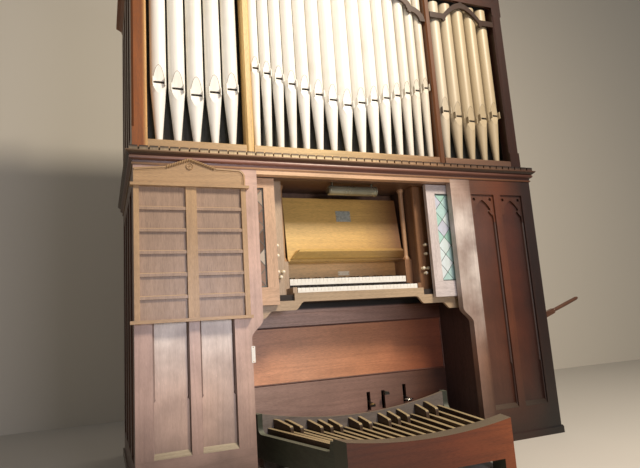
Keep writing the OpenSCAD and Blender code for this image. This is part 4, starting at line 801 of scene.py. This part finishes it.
# A roll follows the heading's upper edge and a fine bead runs inside it. Along both slopes of the gable the roll
# becomes a rope: two strands that wind round the slope's line, half a turn apart.
def headingMouldings():
    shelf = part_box("hymn_heading")[0][2]
    left, right, corner = heading["left"], heading["right"], heading["corner"]
    middle = left + (right - left) * heading["middle"]
    shoulder = shelf + heading["shoulder"]
    turn = np.linspace(0, np.pi / 2, 9)
    bend = np.stack([right - corner + corner * np.cos(turn),
                     shoulder - heading["cornerDrop"] + corner * np.sin(turn)], axis=1)
    slopes = np.array([(middle + heading["gableRight"], shelf + heading["gable"]), (middle, shelf + heading["apex"]),
                       (middle - heading["gableLeft"], shelf + heading["gable"])])
    ring = np.linspace(0, 2 * np.pi, 12, endpoint=False)
    roll = np.stack([heading["inset"] + heading["roll"] * np.cos(ring),
                     0.001 + heading["rollDeep"] * heading["roll"] * np.sin(ring)], axis=1)
    fine = np.stack([heading["fineInset"] + heading["fine"] * np.cos(ring), 0.0015 * np.sin(ring)], axis=1)
    rightPart = np.vstack([[right, shelf + heading["foot"]], bend, slopes[0]])
    leftPart = np.vstack([slopes[2], [left + 0.002, shoulder]])
    whole = np.vstack([rightPart, slopes[1:], leftPart[1:]])
    runs = ((rightPart, roll), (leftPart, roll), (whole, fine))
    parts = [swept(path, outline, heading["y"]) for path, outline in runs]
    for start, end in ((slopes[2], slopes[1]), (slopes[1], slopes[0])):
        parts += [ropeStrand(start, end, phase) for phase in (0, np.pi)]
    addPiece("heading_mouldings", joined(parts), "hymnOak")


headingMouldings()

rosette = {"x": -0.987, "z": 1.601, "y": -0.030, "radius": 0.0185, "high": 0.0085}


# Carved rosette below the gable's point. Its height over the board goes by the distance from the middle: a round
# button, four petals that swell and die away, and a rounded rim.
def rosetteSurface():
    turn = np.linspace(0, 2 * np.pi, 48, endpoint=False)
    out, turn = np.meshgrid(np.linspace(0.04, 1, 16), turn, indexing="ij")
    petals = np.clip(np.abs(np.cos(2 * turn)) - 0.25, 0, 1) * np.sin(np.pi * np.clip((out - 0.25) / 0.5, 0, 1))
    rim = np.sqrt(np.clip(1 - ((out - 0.87) / 0.13) ** 2, 0, 1))
    button = np.sqrt(np.clip(1 - (out / 0.24) ** 2, 0, 1))
    height = 0.2 + 0.45 * petals + 0.55 * rim + 0.6 * button
    height[-1] = -0.05
    x = rosette["x"] + rosette["radius"] * out * np.cos(turn)
    z = rosette["z"] + rosette["radius"] * out * np.sin(turn)
    return gridSurface(np.stack([x, rosette["y"] - rosette["high"] * height, z], axis=2))


addPiece("heading_rosette", rosetteSurface(), "hymnOak")
print("hymn board heading dressed")


# Bare plates with rounded corners, a bevelled edge and two screws each. Each lies on the surface at its middle, and
# lean is how far that surface goes back for each unit of height.
plates = {
    "stile_plate": {"middle": (-0.687, 0.0, 0.630), "size": (0.020, 0.084), "lean": 0.0,
                    "finish": "enamel", "slot": "ivory"},
    "name_plate": {"middle": (0.018, 0.372, 1.070), "size": (0.078, 0.027), "lean": 0.0,
                   "finish": "bonePlate", "slot": "ivory"},
    "desk_plate": {"middle": (0.004, 0.2878, 1.4195), "size": (0.100, 0.070), "lean": 49 / 394,
                   "finish": "zincPlate", "slot": "lamp_metal"},
}
plateForm = {"thick": 0.0022, "corner": 0.004, "bevel": 0.0008, "sunk": 0.0003, "screw": 0.0026, "screwInset": 0.006,
             "slotTurn": 0.6, "slotWide": 0.14}


def plateOutline(width, height, radius):
    turn = np.linspace(0, 2 * np.pi, 24, endpoint=False) + np.pi / 24
    x, z = np.cos(turn), np.sin(turn)
    return np.stack([np.sign(x) * (width / 2 - radius) + radius * x, np.sign(z) * (height / 2 - radius) + radius * z],
                    axis=1)


# Slotted screw head: a low dome, cut down where it is near the slot's line
def screwHead(x, z):
    turn = np.linspace(0, 2 * np.pi, 20, endpoint=False)
    out, turn = np.meshgrid([1.0, 0.92, 0.6, 0.3], turn, indexing="ij")
    inSlot = np.abs(out * np.sin(turn - plateForm["slotTurn"])) < plateForm["slotWide"]
    dome = np.array([0.0, 0.0007, 0.0011, 0.0012])[:, None] * np.where(inSlot, 0.3, 1.0)
    radius = plateForm["screw"] * out
    grid = [x + radius * np.cos(turn), -plateForm["thick"] - dome, z + radius * np.sin(turn)]
    return gridSurface(np.stack(grid, axis=2))


for name, plate in plates.items():
    (width, height), thick, bevel = plate["size"], plateForm["thick"], plateForm["bevel"]
    edge = plateOutline(width, height, plateForm["corner"])
    inner = plateOutline(width - 2 * bevel, height - 2 * bevel, 0.0034)
    levels = ((edge, -plateForm["sunk"]), (edge, 0.6 * thick), (inner, thick))
    sheet = gridSurface(np.stack([np.insert(outline, 1, -up, axis=1) for outline, up in levels]))
    reachX, reachZ = width / 2 - plateForm["screwInset"], height / 2 - plateForm["screwInset"]
    reachX, reachZ = (reachX, 0.0) if width > height else (0.0, reachZ)
    screws = joined([screwHead(s * reachX, s * reachZ) for s in (-1, 1)])
    for suffix, (points, quads, ends), finish, slot in (("", sheet, plate["finish"], plate["slot"]),
                                                        ("_screws", screws, "brassScrew", "lamp_metal")):
        points = points + np.outer(points[:, 2], [0, plate["lean"], 0]) + plate["middle"]
        addPiece(name + suffix, (points, quads, ends), finish)
print("plates fixed")


# Dressing of the desk lamp: rolled collars near its ends, two seam beads along the shade and a domed end cap
lampDress = {
    "middle": (0.012, 0.140, 1.546), "half": 0.1625, "radius": 0.029,
    "collars": ((-1, 0.010, 0.0012), (1, 0.010, 0.0026), (1, 0.024, 0.0012)),  # side, distance from the end, height
    "collarWide": 0.0026,
    "seams": ((205, 0.0016), (160, 0.0010)),  # degrees round the shade, thickness
    "seamEnd": 0.034,
    "cap": ((-0.001, 0.0225), (0.0012, 0.022), (0.003, 0.017), (0.0038, 0.008), (0.004, 0.002)),  # past the end, radius
}


def lampPieces():
    half, radius = lampDress["half"], lampDress["radius"]
    middle = np.array(lampDress["middle"])
    turn = np.linspace(0, 2 * np.pi, 12, endpoint=False)
    parts = []
    for side, inset, grow in lampDress["collars"]:
        along = side * (half - inset) + lampDress["collarWide"] * np.cos(turn)
        parts.append(turned(np.stack([along, radius + grow * np.sin(turn)], axis=1), middle, "x", 40, loop=True))
    end = half - lampDress["seamEnd"]
    for angle, thick in lampDress["seams"]:
        seam = middle + [0, radius * math.cos(math.radians(angle)), radius * math.sin(math.radians(angle))]
        profile = [(-end - 0.001, 0.5 * thick), (-end, thick), (end, thick), (end + 0.001, 0.5 * thick)]
        parts.append(turned(profile, seam, "x", 12))
    parts.append(turned(np.array(lampDress["cap"]) + (half, 0), middle, "x", 40))
    addPiece("lamp_fittings", joined(parts), "lampMetal")


lampPieces()


# Bare bone discs let into the faces of the stop knobs, a little domed
knobDisc = {
    "edge": 0.44025, "sunk": 0.0004,
    "places": ((0.048, 1.212), (0.048, 1.155), (0.050, 1.064), (0.019, 1.064), (0.034, 1.034)),  # past the edge, height
    "profile": ((-0.0004, 0.0048), (0.0009, 0.0048), (0.0013, 0.0041), (0.0019, 0.0022), (0.0021, 0.0006)),
}
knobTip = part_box("stop_knobs")[0][1] + knobDisc["sunk"]
discs = [turned(knobDisc["profile"], (side * (knobDisc["edge"] + past), knobTip, z))
         for side in (-1, 1) for past, z in knobDisc["places"]]
addPiece("knob_discs", joined(discs), "ivory")
print("lamp and knobs dressed")


# The pipes of each flat and their lips, in millimetres but for x. The count is of pipes on each side of the middle one.
sideRow = {"count": 2, "size": 92, "step": 3, "gap": 11, "mouth": 274, "rise": 27}
pipeRows = {
    "centre": {"x": 0.0, "count": 7, "size": 92, "step": 4.6, "gap": 6.8, "mouth": 303, "rise": 24.5},
    "right": {"x": sum(corner[0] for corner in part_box("pipes_right")) / 2, **sideRow},
    "left": {"x": sum(corner[0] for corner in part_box("pipes_left")) / 2, **sideRow},
}
lips = {
    "toe": 1771, "front": 78,  # height of the pipes' toes, and their fronts' distance behind the lower case
    "slot": 13, "line": 1.1,
    "width": 0.74, "tall": 1.4,  # shares of the diameter and of that width
    "mouthShadeWide": 6.6, "mouthShadeDeep": 2.0, "mouthShadeBack": 5.0, "mouthShadeShort": 0.4,
}


# Each pipe's place across in metres, its diameter and the height of its mouth above the toe in millimetres
def pipesOfRows():
    pipes = []
    for row in pipeRows.values():
        for i in range(-row["count"], row["count"] + 1):
            n = abs(i)
            away = n * (row["size"] + row["gap"]) - row["step"] * n * n / 2
            x = row["x"] + math.copysign(away, i) / 1000
            pipes.append((x, row["size"] - row["step"] * n, row["mouth"] + row["rise"] * n))
    return pipes


# Scribed edge of a leaf shaped lip. Above the mouth a plane leans forward until it meets the round front: at each
# height the line stands where that plane cuts the cylinder, and a small ring is carried along it.
def lipLine(x, size, mouth, side):
    radius, width = size / 2, lips["width"] * size
    flat = math.sqrt(radius ** 2 - width ** 2 / 4)
    gone = np.linspace(0.0, 1.0, 16) ** 0.8
    depth = flat + gone * (radius - flat)
    across = side * np.sqrt(np.clip(radius ** 2 - depth ** 2, 0, None))
    height = lips["toe"] + mouth + lips["slot"] + gone * lips["tall"] * width
    line = np.stack([1000 * x + across, lips["front"] + radius - depth, height], axis=1)
    tangent = np.gradient(line, axis=0)
    tangent /= np.linalg.norm(tangent, axis=1)[:, None]
    out = np.cross(tangent, [1.0, 0.0, 0.0])
    out /= np.linalg.norm(out, axis=1)[:, None]
    turn = np.linspace(0, 2 * np.pi, 6, endpoint=False)[None, :, None]
    ring = np.cos(turn) * out[:, None] + np.sin(turn) * np.cross(tangent, out)[:, None]
    return gridSurface((line[:, None] + lips["line"] * ring) / 1000)


# Painted shade in each pipe's mouth: a dark bar with rounded edges stands a little behind the lips, where the pipe's
# inside lies in shadow
def pipeMouthShade(x, size, mouth):
    turn = np.linspace(0, 2 * np.pi, 10, endpoint=False)
    outline = np.stack([lips["mouthShadeWide"] * np.cos(turn), lips["mouthShadeDeep"] * np.sin(turn)], axis=1) / 1000
    radius, width = size / 2, lips["width"] * size
    behind = lips["front"] + radius - math.sqrt(radius ** 2 - width ** 2 / 4) + lips["mouthShadeBack"]
    reach = (width / 2 - lips["mouthShadeShort"]) / 1000
    height = (lips["toe"] + mouth + lips["slot"] / 2) / 1000
    return swept([(x - reach, height), (x + reach, height)], outline, behind / 1000)


edges = [lipLine(*pipe, side) for pipe in pipesOfRows() for side in (-1, 1)]
addPiece("lip_lines", joined(edges), "lipLine")
addPiece("pipe_mouth_shades", joined([pipeMouthShade(*pipe) for pipe in pipesOfRows()]), "pipeMouthShade")
print("pipe lips scribed")


# Worn caps on the toe levers, turned with the lever about its rod at rest
toeCaps = {
    "left": {"x": 0.117, "angle": 5.4, "finish": "brassPad", "size": (0.017, 0.0135)},
    "middle": {"x": 0.218, "angle": -6.0, "finish": "darkPad", "size": (0.0165, 0.0145)},
    "right": {"x": 0.370, "angle": 4.3, "finish": "steelPad", "size": (0.031, 0.018)},
}
leverRod = {"y": 0.600, "z": 0.290, "reach": 0.297, "padTop": 0.0012}


# A low dome over an oval: rings that shrink as they rise, turned about the lever's rod
def toeCap(name, cap):
    turn = np.linspace(0, 2 * np.pi, 32, endpoint=False)
    out, turn = np.meshgrid([1.0, 0.97, 0.85, 0.65, 0.4, 0.12], turn, indexing="ij")
    x = cap["x"] + cap["size"][0] * out * np.cos(turn)
    y = -leverRod["reach"] + cap["size"][1] * out * np.sin(turn)
    z = leverRod["padTop"] + np.array([0.0, 0.002, 0.0042, 0.0062, 0.0074, 0.0078])[:, None] + 0 * turn
    lean = math.radians(cap["angle"])
    grid = [x, leverRod["y"] + y * math.cos(lean) - z * math.sin(lean),
            leverRod["z"] + y * math.sin(lean) + z * math.cos(lean)]
    surface = gridSurface(np.stack(grid, axis=2))
    addPiece("toe_cap_" + name, surface, cap["finish"], body="toe_lever_" + name)


for name, cap in toeCaps.items():
    toeCap(name, cap)
print("toe levers capped")


# Floor and wall, not part of the organ. Both are seen only from their front, so that a view from behind shows the back.
stage = {"floor": "#cfcac2", "wall": "#e4ddd0", "reach": 9.0, "wallBehind": 2.9, "wallHigh": 6.0, "roughness": 0.9}


def stagePlane(name, corners, colour):
    mesh = bpy.data.meshes.new(name)
    mesh.from_pydata(corners, [], [(0, 1, 2, 3)])
    obj = bpy.data.objects.new(name, mesh)
    bpy.context.scene.collection.objects.link(obj)
    material, tree = newMaterial(name)
    inputs = {"Base Color": toLinear(colour), "Roughness": stage["roughness"]}
    matt = addNode(tree, "ShaderNodeBsdfPrincipled", inputs)
    behind = addNode(tree, "ShaderNodeNewGeometry").outputs["Backfacing"]
    shown = addNode(tree, "ShaderNodeMixShader", (behind, matt, addNode(tree, "ShaderNodeBsdfTransparent")))
    addNode(tree, "ShaderNodeOutputMaterial", {"Surface": shown})
    mesh.materials.append(material)


reach, behind, top = stage["reach"], stage["wallBehind"], stage["wallHigh"]
stagePlane("floor", [(-reach, -reach, 0), (reach, -reach, 0), (reach, reach, 0), (-reach, reach, 0)], stage["floor"])
stagePlane("backdrop", [(-reach, behind, 0), (reach, behind, 0), (reach, behind, top), (-reach, behind, top)],
           stage["wall"])


# Soft boxes: the key high in front, one whose sheen lies on the left front, and a weak one whose sheen lies on the right
lamps = {
    "keyLight": {"place": (1.1, -2.9, 4.2), "aim": (0, 0, 1.2), "size": 0.9, "watts": 215, "tint": "#fff1dc"},
    "sheenLight": {"place": (-0.2, -4.2, 1.1), "aim": (-0.5, 0, 1.0), "size": 0.8, "watts": 40, "tint": "#f6f3ff"},
    "sideLight": {"place": (2.75, -2.8, 1.7), "aim": (0.5, 0, 1.2), "size": 0.4, "watts": 2, "tint": "#f6f4ff"},
}
surroundings = {"tint": "#f4f1ec", "strength": 0.2}
for name, lamp in lamps.items():
    data = bpy.data.lights.new(name, "AREA")
    data.size, data.energy, data.color = lamp["size"], lamp["watts"], toLinear(lamp["tint"])[:3]
    obj = bpy.data.objects.new(name, data)
    obj.location = lamp["place"]
    obj.rotation_euler = (Vector(lamp["aim"]) - Vector(lamp["place"])).to_track_quat("-Z", "Y").to_euler()
    bpy.context.scene.collection.objects.link(obj)
world = bpy.data.worlds.new("studio")
world.use_nodes = True
world.node_tree.nodes["Background"].inputs[0].default_value = toLinear(surroundings["tint"])
world.node_tree.nodes["Background"].inputs[1].default_value = surroundings["strength"]
bpy.context.scene.world = world
print("stage and lamps set")

bpy.context.view_layer.update()
